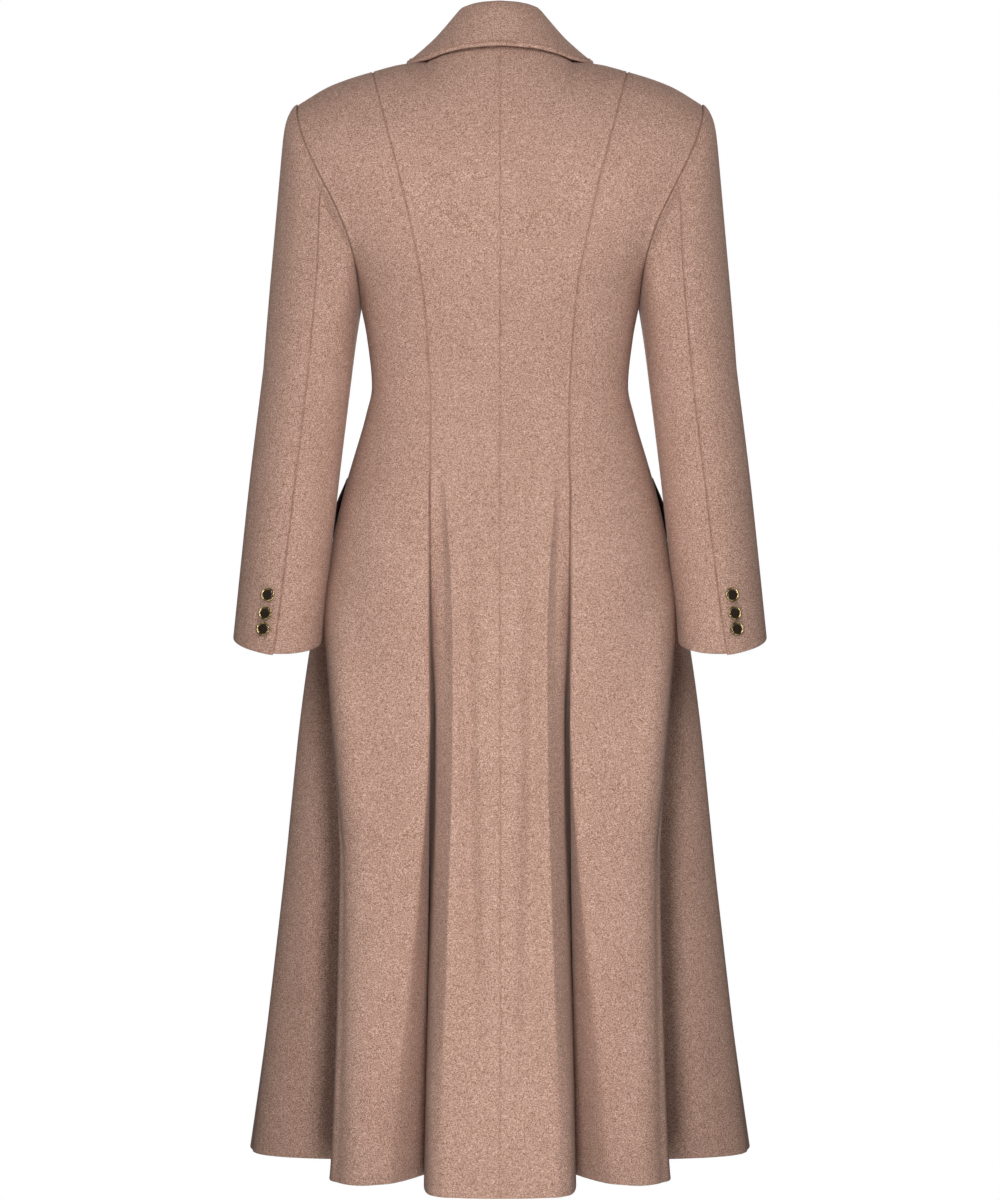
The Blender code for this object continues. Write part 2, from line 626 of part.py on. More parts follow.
def wall(name, faces, side, material, collection):
    """A wall of cloth: a grid pulled out into two faces and a rim, its points moved to the faces given."""
    outer, inner = faces
    mirror = np.array([side, 1.0, 1.0])
    places = np.stack([outer * mirror, inner * mirror])
    columns, rows = outer.shape[:2]
    bm = bmesh.new()
    bmesh.ops.create_grid(bm, x_segments=columns - 1, y_segments=rows - 1, size=0.5)
    pulled = bmesh.ops.extrude_face_region(bm, geom=bm.faces[:])
    for part in pulled["geom"]:
        if isinstance(part, bmesh.types.BMVert):
            part.co.z = 1.0
    for vertex in bm.verts:
        column = round((vertex.co.x + 0.5) * (columns - 1))
        row = round((vertex.co.y + 0.5) * (rows - 1))
        vertex.co = places[round(vertex.co.z), column, row]
    return finish(bm, name, material, collection)


def button(name, place, out, radius, material, collection):
    """A turned button that faces the given way, just off the cloth."""
    out = np.asarray(out) / np.linalg.norm(out)
    first = unit(np.cross(out, [0.0, 0.0, 1.0]))
    seat = place + out * BUTTON_GAP
    bm = bmesh.new()
    chain = [bm.verts.new(seat + radius * (out * high + first * wide)) for wide, high in BUTTON_PROFILE]
    edges = [bm.edges.new(pair) for pair in zip(chain, chain[1:])]
    bmesh.ops.spin(
        bm, geom=chain + edges, cent=place, axis=out, angle=2 * math.pi, steps=BUTTON_SIDES, use_merge=True
    )
    bmesh.ops.remove_doubles(bm, verts=bm.verts, dist=1e-6)
    return finish(bm, name, material, collection)


def build_panels(cloth, collection):
    """The eight panels of the body."""
    for gore, (name, shares) in enumerate(PANEL_SHARES.items()):
        for side, word in ((1, "left"), (-1, "right")):
            under_lap = name == "front" and word == "left"
            wall(f"{name}_{word}", panel_faces(gore, shares, under_lap), side, cloth, collection)


def build_sleeves(cloth, brass, collection):
    """Both two-piece sleeves and the buttons on their cuffs."""
    top = sleeve_faces("top")
    under = sleeve_faces("under")
    for side, word in ((1, "left"), (-1, "right")):
        wall(f"top_sleeve_{word}", top, side, cloth, collection)
        wall(f"under_sleeve_{word}", under, side, cloth, collection)
        mirror = np.array([side, 1.0, 1.0])
        for number, z in enumerate(CUFF_BUTTON_Z, 1):
            down = CAP_SHARE + (1 - CAP_SHARE) * (UPPER_ARM - z) / (UPPER_ARM - CUFF + CUFF_TILT)
            turn = back_seam_turn(down) + CUFF_BUTTON_INSET
            place = sleeve(np.array(turn), np.array(down)) * mirror
            out = normals(sleeve, turn, down, (-2, 2), (0, 1)) * mirror
            button(f"cuff_button_{word}_{number}", place, out, CUFF_BUTTON, brass, collection)


def build_front_buttons(brass, collection):
    """Buttons down the centre front, on the upper front."""
    outer, _inner = panel_faces(3, PANEL_SHARES["front"], False)
    _x, line_y, line_z = outer[CENTRE_COLUMN].T
    for number, z in enumerate(FRONT_BUTTON_Z, 1):
        above = int(np.searchsorted(line_z, z))
        place = np.array([0.0, np.interp(z, line_z, line_y), z])
        rise = line_z[above] - line_z[above - 1]
        run = line_y[above] - line_y[above - 1]
        facing = np.array([0.0, -rise, run])
        button(f"front_button_{number}", place, facing, FRONT_BUTTON, brass, collection)


def build():
    """Clear the file and build the coat."""
    for thing in list(bpy.data.objects):
        bpy.data.objects.remove(thing)
    collection = bpy.data.collections.new(NAME)
    bpy.context.scene.collection.children.link(collection)
    cloth = plain_material("camel_wool", CAMEL, 0.95)
    dark = plain_material("dark_cloth", DARK_BROWN, 0.9)
    brass = plain_material("antique_brass", OLD_BRASS, 0.45, 0.9)
    build_panels(cloth, collection)
    build_sleeves(cloth, brass, collection)
    wall("collar", collar_faces(), 1, cloth, collection)
    for side, word in ((1, "left"), (-1, "right")):
        wall(f"pocket_flap_{word}", flap_faces(), side, dark, collection)
    build_front_buttons(brass, collection)


build()
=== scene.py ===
"""Looks of the long fitted wool coat, on the form of its solids.

Laid out as an add-on: property groups hold the sizes and colours that a user would change, each operator
builds one group of pieces, and the panel lists the operators. The front faces -Y and the back +Y.
Every panel lies on one shared surface, body(q, v): q runs round half the coat, 0 centre back, 1 back
princess seam, 2 side seam and armhole, 3 front princess seam, 4 front edge, and v runs from 0 at the hem
to 1 at the underarm and 2 at the top edge.
"""

import math

import bpy
import numpy as np
from bpy.props import FloatProperty, FloatVectorProperty, PointerProperty
from bpy.types import Operator, Panel, PropertyGroup
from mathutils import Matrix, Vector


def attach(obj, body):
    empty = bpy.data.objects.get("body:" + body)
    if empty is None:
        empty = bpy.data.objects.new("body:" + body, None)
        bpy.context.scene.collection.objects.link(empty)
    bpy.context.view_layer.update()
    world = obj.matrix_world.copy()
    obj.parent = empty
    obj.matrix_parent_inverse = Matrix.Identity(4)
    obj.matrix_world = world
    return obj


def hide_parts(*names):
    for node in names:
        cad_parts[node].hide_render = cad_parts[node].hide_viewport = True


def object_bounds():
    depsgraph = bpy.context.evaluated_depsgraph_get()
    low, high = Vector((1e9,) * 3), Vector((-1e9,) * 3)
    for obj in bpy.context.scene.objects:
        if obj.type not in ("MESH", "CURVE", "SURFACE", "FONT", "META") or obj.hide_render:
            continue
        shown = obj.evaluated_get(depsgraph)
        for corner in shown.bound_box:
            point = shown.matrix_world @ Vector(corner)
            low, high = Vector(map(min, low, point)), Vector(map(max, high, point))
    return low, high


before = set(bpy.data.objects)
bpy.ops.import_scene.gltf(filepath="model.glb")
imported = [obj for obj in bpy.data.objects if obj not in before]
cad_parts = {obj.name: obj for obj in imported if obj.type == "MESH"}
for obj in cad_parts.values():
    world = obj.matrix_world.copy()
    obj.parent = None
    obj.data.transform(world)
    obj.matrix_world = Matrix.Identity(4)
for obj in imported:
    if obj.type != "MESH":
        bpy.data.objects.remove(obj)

bl_info = {
    "name": "Fitted Wool Coat",
    "version": (1, 0, 0),
    "blender": (4, 5, 0),
    "location": "View3D > Sidebar > Coat",
    "description": "Builds the cloth, collar, flaps, buttons and studio of a long fitted wool coat",
    "category": "Object",
}

CAD_LOW, CAD_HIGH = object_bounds()
SIDES = ((1, "left"), (-1, "right"))

# Steps for slopes and for staying within a panel
STEP = 0.0005
EDGE = 1e-6
TINY = 1e-9
LEAST_LENGTH = 1e-12

# Body sections from the hem to the underarm: their roundness, then a row for each level
ROUNDNESS = 3.0
LEVEL_COLUMNS = ("z", "half_width", "back_seam", "front_seam")
LEVELS = (
    (-1.190, 0.2490, 0.0810, 0.118),
    (-0.912, 0.2285, 0.0780, 0.105),
    (-0.648, 0.2100, 0.0755, 0.092),
    (-0.541, 0.1900, 0.0745, 0.086),
    (-0.442, 0.1620, 0.0738, 0.080),
    (-0.3845, 0.1455, 0.0738, 0.078),
    (-0.3540, 0.1392, 0.0750, 0.080),
    (-0.300, 0.1445, 0.0782, 0.087),
    (-0.2645, 0.1515, 0.0813, 0.094),
)
HEM = LEVELS[0][0]
UNDERARM, UNDERARM_WIDTH, BACK_SEAM_X, FRONT_SEAM_X = LEVELS[-1]
ROW_CROWDING = 1.5

# Depth of the sections behind and before the side seams, from the hem to the neck
DEPTH_COLUMNS = ("z", "back", "front")
DEPTHS = (
    (-1.190, 0.200, 0.195),
    (-0.912, 0.177, 0.170),
    (-0.648, 0.153, 0.143),
    (-0.541, 0.137, 0.128),
    (-0.442, 0.112, 0.112),
    (-0.3845, 0.096, 0.106),
    (-0.348, 0.089, 0.107),
    (-0.300, 0.096, 0.117),
    (-0.2645, 0.1035, 0.126),
    (-0.200, 0.1115, 0.1275),
    (-0.150, 0.1120, 0.120),
    (-0.050, 0.099, 0.105),
    (0.030, 0.085, 0.100),
)

# Pleats: where they open, the valley at each seam and the lobe of each gore, at the hem
PLEAT_TOP = -0.448
PLEAT_EASE = 0.10
SIDE_LEAD = 0.57
SIDE_LEAD_POWER = 0.75
SIDE_LEAD_FROM = 0.10
SIDE_LEAD_EASE = 0.32
SIDE_LEAD_BACK = 0.40
SIDE_LEAD_FRONT = 0.15
WALL_TOP = -0.690
WALL_LEAST = 0.05
VALLEYS = {  # x, y
    "back_princess": (0.0775, 0.105),
    "side": (0.162, 0.026),
    "front_princess": (0.152, -0.120),
}
GORE_COLUMNS = ("crest_x", "crest_y", "half_width", "facing", "rise", "fall", "bow", "pull")
GORES = {
    "back": (0.0, 0.2295, 0.050, 0.0, 0.215, 0.215, 0.005, 0.9),
    "side_back": (0.146, 0.155, 0.026, 15.0, 0.10, 0.17, 0.013, 0.5),
    "side_front": (0.2708, -0.058, 0.030, 92.0, 0.24, 0.22, 0.006, 1.0),
    "front": (0.0, -0.216, 0.100, 180.0, 0.16, 0.16, 0.006, 0.9),
}
FRONT_REACH = 0.62
LAP_DEPTH = 0.0036
LAP_FROM = 0.22
LAP_EASE = 0.28

# Upper body: top line of the shoulder, neckline, princess seams and armhole
SHOULDER_COLUMNS = ("x", "z")
SHOULDER = (
    (0.078, 0.0005),
    (0.102, -0.0014),
    (0.1384, -0.0105),
    (0.182, -0.0258),
    (0.218, -0.0472),
)
NECK_X, NECK_Z = SHOULDER[0]
PRINCESS_X = SHOULDER[2][0]
SHOULDER_X, SHOULDER_Z = SHOULDER[-1]
TURN_START = -0.140
TURN_ROUNDNESS = 2.4
BACK_NECK_Z = 0.012
FRONT_NECK_Z = -0.055
BACK_NECK_RISE = 0.048
FRONT_NECK_RISE = -0.033
SEAM_PULLS = (0.55, 1.05)
ARM_WIDTH = 0.250
ARM_SPREAD = (0.42, 1.43, -0.85)
ARMHOLE_POWER = 1.2
ARM_ROUNDNESS = 5.0
ARM_ROUND_BY = 0.3

# Sleeves: rings from the cuff to the upper arm, the rolled cap and the seams round the sleeve
SLEEVE_COLUMNS = ("z", "x", "y", "half_width", "half_depth")
SLEEVE = (
    (-0.6273, 0.2378, 0.062, 0.0472, 0.050),
    (-0.470, 0.2220, 0.050, 0.0478, 0.054),
    (-0.335, 0.2077, 0.022, 0.0483, 0.056),
)
UPPER_ARM = SLEEVE[-1][0]
CUFF = SLEEVE[0][0]
CUFF_TILT = 0.0142
CUFF_SLANT = 0.0028
SLEEVE_GAP = 0.0002
CAP_ROLL = 0.0135
CAP_TURN = 0.035
CAP_SHARE = 0.45
CAP_WIDE = 0.5
CAP_DEEP = 0.4
SLEEVE_BACK_SEAM = (0.268, 0.236, 0.255)
SLEEVE_FRONT_SEAM = 0.80

# Cuff vent: where the top sleeve laps over the under sleeve, and how its corner hangs
VENT_TOP = -0.566
VENT_EASE = 0.020
VENT_LAP = 0.0003
VENT_LIFT = 0.0010
VENT_REACH = 0.012
VENT_DROP = 0.0014
VENT_DROP_REACH = 0.016

# Collar, by angle from the centre back: distance from the neck's axis and height of three lines
NECK_AXIS_Y = -0.005
COLLAR_COLUMNS = ("turn", "base_r", "base_z", "roll_r", "roll_z", "edge_r", "edge_z")
COLLAR = (
    (0.0, 0.0634, 0.0128, 0.0540, 0.0550, 0.0770, 0.0054),
    (30.0, 0.0688, 0.0106, 0.0510, 0.0538, 0.0835, 0.0022),
    (45.0, 0.0738, 0.0082, 0.0505, 0.0524, 0.0880, -0.0012),
    (60.0, 0.0775, 0.0042, 0.0470, 0.0496, 0.0915, -0.0047),
    (75.0, 0.0772, 0.0022, 0.0445, 0.0453, 0.0966, -0.0048),
    (90.0, 0.0762, 0.0016, 0.0430, 0.0405, 0.1010, -0.0012),
    (112.0, 0.0742, -0.0118, 0.0470, 0.0280, 0.1060, -0.0050),
    (135.0, 0.0702, -0.0312, 0.0550, 0.0100, 0.1215, -0.0305),
    (180.0, 0.0678, -0.0542, 0.0640, -0.0220, 0.1260, -0.1080),
)
COLLAR_END = 175.0
COLLAR_SPREAD = 17.0
COLLAR_ROLL_SHARE = 0.42
COLLAR_LEAN = 0.25
COLLAR_STAND_PULL = 0.55
COLLAR_FALL_PULL = 0.24
COLLAR_EDGE_PULL = 1.1
COLLAR_CLOTH = 0.004
COLLAR_EDGE_CLOTH = 0.0025
COLLAR_THIN_POWER = 3
COLLAR_SPREAD_POWER = 5
STITCH_EASE = 0.1

# Pocket flaps, on the side fronts
FLAP_TOP = -0.452
FLAP_BOTTOM = -0.518
FLAP_FROM = 2.05
FLAP_TO = 2.72
FLAP_WIDTH = 0.070
FLAP_CLOTH = 0.003
FLAP_GAP = 0.0003
FLAP_STAND = 0.0045
FLAP_CORNER = 0.008
FLAP_CORNER_POWER = 6
FLAP_BOW_FROM = 0.04
FLAP_BOW_SPAN = 0.72
FLAP_BOW_POWER = 1.5

# Buttons: heights up the cuff and the front, and a profile in shares of the radius
CUFF_BUTTON_Z = (-0.5805, -0.600, -0.6168)
CUFF_BUTTON_INSET = 0.043
FRONT_BUTTON_Z = (-0.105, -0.190, -0.275, -0.360, -0.448)
FRONT_CENTRE = 3 + 0.5 / FRONT_REACH
FRONT_BUTTON_SLOPE = 0.01
BUTTON_GAP = 0.0004
BUTTON_PROFILE = (  # distance from the axis, height
    (0.0, 0.0),
    (0.30, 0.0),
    (0.78, 0.02),
    (0.93, 0.10),
    (0.99, 0.20),
    (1.0, 0.29),
    (0.985, 0.38),
    (0.95, 0.45),
    (0.90, 0.48),
    (0.85, 0.47),
    (0.80, 0.43),
    (0.765, 0.385),
    (0.745, 0.37),
    (0.72, 0.385),
    (0.69, 0.41),
    (0.62, 0.425),
    (0.50, 0.432),
    (0.36, 0.43),
    (0.18, 0.425),
    (0.0, 0.424),
)
# Rings below BUTTON_RIM, the button's back and side, are dark as painted shade; rings from BUTTON_FACE on are
# the dark face.
BUTTON_RIM = 5
BUTTON_FACE = 12
BUTTON_SIDES = 40

# Mesh: distances of the columns beside an edge, steps between columns and rows, and how rows are placed
EDGE_OFFSETS = np.array([0.0, 0.0003, 0.0007, 0.0013, 0.0021, 0.0031, 0.0044, 0.0060, 0.0078])
COLLAR_OFFSETS = np.linspace(0.0, 0.0084, 29)
COLUMN_STEP = 0.0046
PLEAT_COLUMN_STEP = 0.0017
COLLAR_STEP = 0.0026
ROW_STEP = 0.0054
FINE_STEPS = 241
HEM_ROWS_TO = 0.008
UPPER_ROWS = 1.25
CAP_ROWS = 45
CAP_LENGTH = 0.27
CAP_FIRST_ROW = 0.021
CAP_ROW_POWER = 1.15
CUFF_ROW_GAP = 0.005
COLLAR_ROWS = 61
COLLAR_END_RADIUS = 0.08
COLLAR_END_GAP = 1.5
FLAP_GRID = (41, 33)
CENTRE_SAMPLES = 2001

# The back's inverted pleats: the slit beside the princess seam, and the sloping strip next to it
SLIT_COLUMNS = ("z", "depth", "edge_x", "soft", "side_width", "overhang")
SLIT = (
    (-1.190, 0.0040, 0.0775, 0.0008, 0.0012, 0.0000),
    (-1.100, 0.0140, 0.0768, 0.0009, 0.0014, 0.0010),
    (-1.000, 0.0220, 0.0738, 0.0012, 0.0016, 0.0040),
    (-0.897, 0.0270, 0.0706, 0.0013, 0.0018, 0.0080),
    (-0.793, 0.0280, 0.0683, 0.0013, 0.0018, 0.0090),
    (-0.711, 0.0220, 0.0683, 0.0013, 0.0016, 0.0060),
    (-0.627, 0.0090, 0.0716, 0.0010, 0.0014, 0.0030),
    (-0.560, 0.0040, 0.0730, 0.0008, 0.0012, 0.0008),
    (-0.510, 0.0010, 0.0738, 0.0008, 0.0012, 0.0000),
    (-0.448, 0.0000, 0.0740, 0.0008, 0.0012, 0.0000),
)
STRIP_COLUMNS = ("z", "drop", "bend_x", "width", "lift")
STRIP = (
    (-1.190, 0.0000, 0.0620, 0.0150, 0.0050),
    (-1.100, 0.0020, 0.0605, 0.0130, 0.0060),
    (-1.000, 0.0075, 0.0565, 0.0140, 0.0010),
    (-0.897, 0.0110, 0.0530, 0.0140, 0.0000),
    (-0.793, 0.0130, 0.0500, 0.0145, 0.0000),
    (-0.711, 0.0125, 0.0490, 0.0130, 0.0000),
    (-0.627, 0.0100, 0.0490, 0.0105, 0.0040),
    (-0.543, 0.0084, 0.0524, 0.0082, 0.0040),
    (-0.500, 0.0056, 0.0558, 0.0068, 0.0020),
    (-0.448, 0.0000, 0.0592, 0.0055, 0.0000),
)
STRIP_END = 0.0730
STRIP_POWER = 1.6
OVERHANG_REACH = 0.10

# Seams and stitching: ridges and the centre seam as shares of a depth, the least wall, where seams fade
SEAM_RIDGE = 0.2
STITCH_RIDGE = 0.7
CENTRE_SEAM = 0.62
LEAST_WALL = 0.0006
SEAM_FADE_FROM = 1.93
SEAM_START = 0.006

# The armhole: how far the cloth beside its seam stands out or sinks in, and the roll of the sleeve head
ARMHOLE_COLUMNS = ("z", "stand", "reach")
ARMHOLE = (
    (-0.290, 0.0000, 0.0030),
    (-0.272, -0.0060, 0.0030),
    (-0.258, -0.0100, 0.0030),
    (-0.240, -0.0080, 0.0035),
    (-0.222, 0.0000, 0.0050),
    (-0.205, 0.0052, 0.0070),
    (-0.165, 0.0068, 0.0080),
    (-0.130, 0.0042, 0.0070),
    (-0.090, 0.0014, 0.0060),
    (-0.050, 0.0000, 0.0050),
)
ARMHOLE_FRONT = 0.02
ARMHOLE_OVER = -0.080
ARMHOLE_OVER_EASE = 0.030
HEAD_LIFT = 0.0016
HEAD_LIFT_REACH = 0.005

# Studio: radius of the white surround and of the floor
SURROUND_RADIUS = 14.0
FLOOR_RADIUS = 13.0

# Soft folds, listed across (metres from the centre) and by height
SIDE_FILL_EASE = 0.02
CREASE_FADE = 0.8
CREASE_COLUMNS = ("panel", "x_from", "z_from", "x_to", "z_to", "bow", "half_width", "depth")
CREASES = (
    ("back", 0.0385, -0.450, 0.0245, -1.110, 0.0010, 0.0100, -0.0085),
    ("back", 0.0150, -0.330, 0.0700, -0.352, 0.0030, 0.0090, -0.0006),
    ("side_back", 0.0800, -0.345, 0.1300, -0.372, -0.0040, 0.0085, -0.0008),
    ("side_back", 0.0950, -0.258, 0.1420, -0.296, 0.0040, 0.0090, -0.0009),
    ("side_back", 0.1180, -0.700, 0.1300, -1.160, 0.0060, 0.0200, -0.0016),
    ("side_back", 0.1800, -0.550, 0.1530, -0.840, -0.0040, 0.0165, 0.0110),
    ("side_front", 0.1800, -0.550, 0.1530, -0.840, -0.0040, 0.0165, 0.0110),
    ("side_front", 0.0950, -0.262, 0.1420, -0.300, 0.0040, 0.0090, -0.0010),
    ("side_front", 0.0850, -0.345, 0.1300, -0.366, -0.0040, 0.0085, -0.0009),
    ("front", 0.0650, -0.560, 0.0740, -1.120, 0.0120, 0.0130, -0.0034),
    ("front", 0.0300, -0.640, 0.0350, -1.060, -0.0080, 0.0120, -0.0022),
    ("front", 0.0250, -0.348, 0.0780, -0.362, 0.0030, 0.0080, -0.0007),
)


def read(table, columns, name, at):
    """One column of a table at the given values of its first column: a monotone cubic through its rows."""
    rows = np.array(table, float)
    x = rows[:, 0]
    y = rows[:, columns.index(name)]
    width = np.diff(x)
    slope = np.diff(y) / width
    bend = np.zeros_like(x)
    same_way = slope[:-1] * slope[1:] > 0
    before = 2 * width[1:] + width[:-1]
    after = width[1:] + 2 * width[:-1]
    left = np.where(same_way, slope[:-1], 1.0)
    right = np.where(same_way, slope[1:], 1.0)
    bend[1:-1] = np.where(same_way, (before + after) / (before / left + after / right), 0.0)
    bend[0] = slope[0]
    bend[-1] = slope[-1]
    at = np.clip(at, x[0], x[-1])
    i = np.clip(np.searchsorted(x, at, side="right") - 1, 0, len(width) - 1)
    t = (at - x[i]) / width[i]
    return hermite(y[i], y[i + 1], bend[i] * width[i], bend[i + 1] * width[i], t)


def read_row(table, columns, at):
    """Every column of a table after its first, by name, at the given values of the first."""
    return {name: read(table, columns, name, at) for name in columns[1:]}


def hermite(start, end, start_pull, end_pull, t):
    """A cubic from start to end with the given pulls at its ends."""
    rest = 1 - t
    return (
        start * (1 + 2 * t) * rest**2
        + start_pull * t * rest**2
        + end * t**2 * (3 - 2 * t)
        - end_pull * t**2 * rest
    )


def soft_step(value):
    """0 below 0, 1 above 1, and 3t squared less 2t cubed between."""
    t = np.clip(value, 0.0, 1.0)
    return t * t * (3 - 2 * t)


def bell(distance, width):
    """1 at no distance, dying away as e to the minus square of distance over width."""
    return np.exp(-((distance / width) ** 2))


def signed_power(value, power):
    """A power that keeps the sign."""
    return np.sign(value) * np.abs(value) ** power


def unit(vectors):
    """Vectors brought to length one."""
    return vectors / np.maximum(np.linalg.norm(vectors, axis=-1, keepdims=True), LEAST_LENGTH)


def section_angle(q, z):
    """Angle round a section, 0 at the centre back, that puts each seam at its tabled distance across."""
    level = read_row(LEVELS, LEVEL_COLUMNS, z)
    back_seam, front_seam = (
        np.arcsin((level[seam] / level["half_width"]) ** (ROUNDNESS / 2))
        for seam in ("back_seam", "front_seam")
    )
    side = math.pi / 2
    across_back = back_seam * q
    across_side_back = back_seam + (side - back_seam) * (q - 1)
    across_side_front = side + (math.pi - front_seam - side) * (q - 2)
    across_front = math.pi - front_seam + 2 * front_seam * FRONT_REACH * (q - 3)
    at_front = np.where(q < 3, across_side_front, across_front)
    return np.where(q < 1, across_back, np.where(q < 2, across_side_back, at_front))


def plain_section(q, z):
    """The unpleated section at a height: a rounded ellipse, x half width sin^p and y depth cos^p."""
    angle = section_angle(q, z)
    depths = read_row(DEPTHS, DEPTH_COLUMNS, z)
    depth = np.where(np.cos(angle) > 0, depths["back"], depths["front"])
    x = read(LEVELS, LEVEL_COLUMNS, "half_width", z) * signed_power(np.sin(angle), 2 / ROUNDNESS)
    y = depth * signed_power(np.cos(angle), 2 / ROUNDNESS)
    return np.stack([x, y], axis=-1)


def lobe(share, start, end, gore):
    """A gore's hem line: a cubic up from the valley at its start, a bowed crest and a cubic to its end."""
    crest_x, crest_y, half, facing, rise, fall, bow, pull = gore
    turn = math.radians(facing)
    along = np.array([math.cos(turn), -math.sin(turn)])
    out = np.array([math.sin(turn), math.cos(turn)])
    crest = np.array([crest_x, crest_y])
    first = crest - half * along
    last = crest + half * along
    up = np.clip(share / rise, 0, 1)[..., None]
    over = np.clip((share - rise) / (1 - rise - fall), 0, 1)[..., None]
    down = np.clip((share - 1 + fall) / fall, 0, 1)[..., None]
    up_pull = pull * np.linalg.norm(first - start)
    down_pull = pull * np.linalg.norm(end - last)
    rising = hermite(start, first, out * up_pull, along * up_pull, up)
    crossing = first + (last - first) * over + out * bow * 4 * over * (1 - over)
    falling = hermite(last, end, along * down_pull, -out * down_pull, down)
    return np.where(up < 1, rising, np.where(over < 1, crossing, falling))


def hem_line(q):
    """The pleated hem, lobe by lobe from the centre back to the front edge."""
    valley = {name: np.array(point) for name, point in VALLEYS.items()}
    mirror = np.array([-1.0, 1.0])
    back = lobe(0.5 + 0.5 * q, valley["back_princess"] * mirror, valley["back_princess"], GORES["back"])
    side_back = lobe(q - 1, valley["back_princess"], valley["side"], GORES["side_back"])
    side_front = lobe(q - 2, valley["side"], valley["front_princess"], GORES["side_front"])
    front_share = FRONT_REACH * (q - 3)
    front = lobe(front_share, valley["front_princess"], valley["front_princess"] * mirror, GORES["front"])
    q = q[..., None]
    return np.where(q < 1, back, np.where(q < 2, side_back, np.where(q < 3, side_front, front)))


def pleat_opening(q, z):
    """Share of the hem's pleats at a height: none above their top, an eased ramp, sooner by the side seam."""
    fall = np.clip((PLEAT_TOP - z) / (PLEAT_TOP - HEM), 0, 1)
    ramp = fall**2 / (fall + PLEAT_EASE) * (1 + PLEAT_EASE)
    lead = SIDE_LEAD * soft_step((fall - SIDE_LEAD_FROM) / SIDE_LEAD_EASE) * (1 - fall) ** SIDE_LEAD_POWER
    reach = np.where(q < 2, SIDE_LEAD_BACK, SIDE_LEAD_FRONT)
    return ramp + lead * bell(q - 2, reach)


def side_back_wall(z):
    """Where the side back's inner wall ends across it at the hem, and how far it has opened at a height."""
    wall = GORES["side_back"][GORE_COLUMNS.index("rise")]
    return wall, np.clip((WALL_TOP - z) / (WALL_TOP - HEM), WALL_LEAST, 1)


def pleat_place(q, z):
    """Place on the hem's lobes: the side back's inner wall closes up towards the top of the back pleat."""
    wall, opened = side_back_wall(z)
    share = np.clip(q - 1, 0, 1)
    on_wall = share / opened
    beyond = wall + (share - wall * opened) * (1 - wall) / (1 - wall * opened)
    moved = 1 + np.where(share < wall * opened, on_wall, beyond)
    return np.where((q > 1) & (q < 2), moved, q)


def lower_body(q, z):
    """The body below the underarm: the plain section, moved towards the pleated hem."""
    at_hem = np.full_like(z, HEM)
    place = pleat_place(q, z)
    fold = hem_line(place) - plain_section(place, at_hem)
    pleated = plain_section(q, z) + pleat_opening(q, z)[..., None] * fold
    return np.concatenate([pleated, z[..., None]], axis=-1)


def shoulder_top(x, is_back):
    """Height of the top line over a distance from the centre, carried on across the neck as a parabola."""
    rise = np.where(is_back, BACK_NECK_RISE, FRONT_NECK_RISE)
    inside = NECK_Z + rise * (1 - np.clip(x / NECK_X, -1, 1) ** 2)
    return np.where(np.abs(x) < NECK_X, inside, read(SHOULDER, SHOULDER_COLUMNS, "z", np.abs(x)))


def chest_depth(x, z, is_back):
    """Depth of the upper body: a rounded section that widens to the arms and turns over at the shoulder."""
    climb = (z - UNDERARM) / (SHOULDER_Z - UNDERARM)
    first, second, third = ARM_SPREAD
    spread = first * climb + second * climb**2 + third * climb**3
    width = UNDERARM_WIDTH + (ARM_WIDTH - UNDERARM_WIDTH) * spread
    roundness = ROUNDNESS + (ARM_ROUNDNESS - ROUNDNESS) * soft_step(climb / ARM_ROUND_BY)
    side = (1 - np.clip(np.abs(x) / width, 0, 1) ** roundness) ** (1 / roundness)
    turn = np.clip((z - TURN_START) / (shoulder_top(x, is_back) - TURN_START), 0, 1)
    over = (1 - turn**TURN_ROUNDNESS) ** (1 / TURN_ROUNDNESS)
    depths = read_row(DEPTHS, DEPTH_COLUMNS, z)
    return np.where(is_back, depths["back"], -depths["front"]) * side * over


def upper_body(q, rise, is_back):
    """The body above the underarm: lines climb from the underarm section to the neckline and shoulder."""
    ring = plain_section(q, np.full_like(q, UNDERARM))[..., 0]
    inner_seam = np.where(is_back, BACK_SEAM_X, FRONT_SEAM_X)
    lean = hermite(0.0, 1.0, *SEAM_PULLS, rise)
    seam_x = inner_seam + (PRINCESS_X - inner_seam) * lean
    scoop = ((1 - np.cos(math.pi * rise)) / 2) ** ARMHOLE_POWER
    armhole_x = UNDERARM_WIDTH + (SHOULDER_X - UNDERARM_WIDTH) * scoop
    outward = np.where(is_back, q - 1, 3 - q)
    start_share = (ring - inner_seam) / (UNDERARM_WIDTH - inner_seam)
    share = start_share + (outward - start_share) * rise
    outer_x = seam_x + (armhole_x - seam_x) * share
    outer_top = PRINCESS_X + (SHOULDER_X - PRINCESS_X) * outward
    neck_share = np.where(is_back, q, 1 - FRONT_REACH * 2 * (q - 3))
    inner_top = PRINCESS_X * neck_share
    inner_x = ring + (inner_top - ring) * lean
    outer = outward > 0
    x = np.where(outer, outer_x, inner_x)
    top_x = np.where(outer, outer_top, inner_top)
    across_neck = np.clip(top_x / NECK_X, -1, 1) ** 2
    neck_z = np.where(is_back, BACK_NECK_Z, FRONT_NECK_Z)
    neckline = neck_z + (NECK_Z - neck_z) * across_neck
    top_z = np.where(np.abs(top_x) < NECK_X, neckline, shoulder_top(top_x, is_back))
    z = UNDERARM + (top_z - UNDERARM) * rise
    return np.stack([x, chest_depth(x, z, is_back), z], axis=-1)


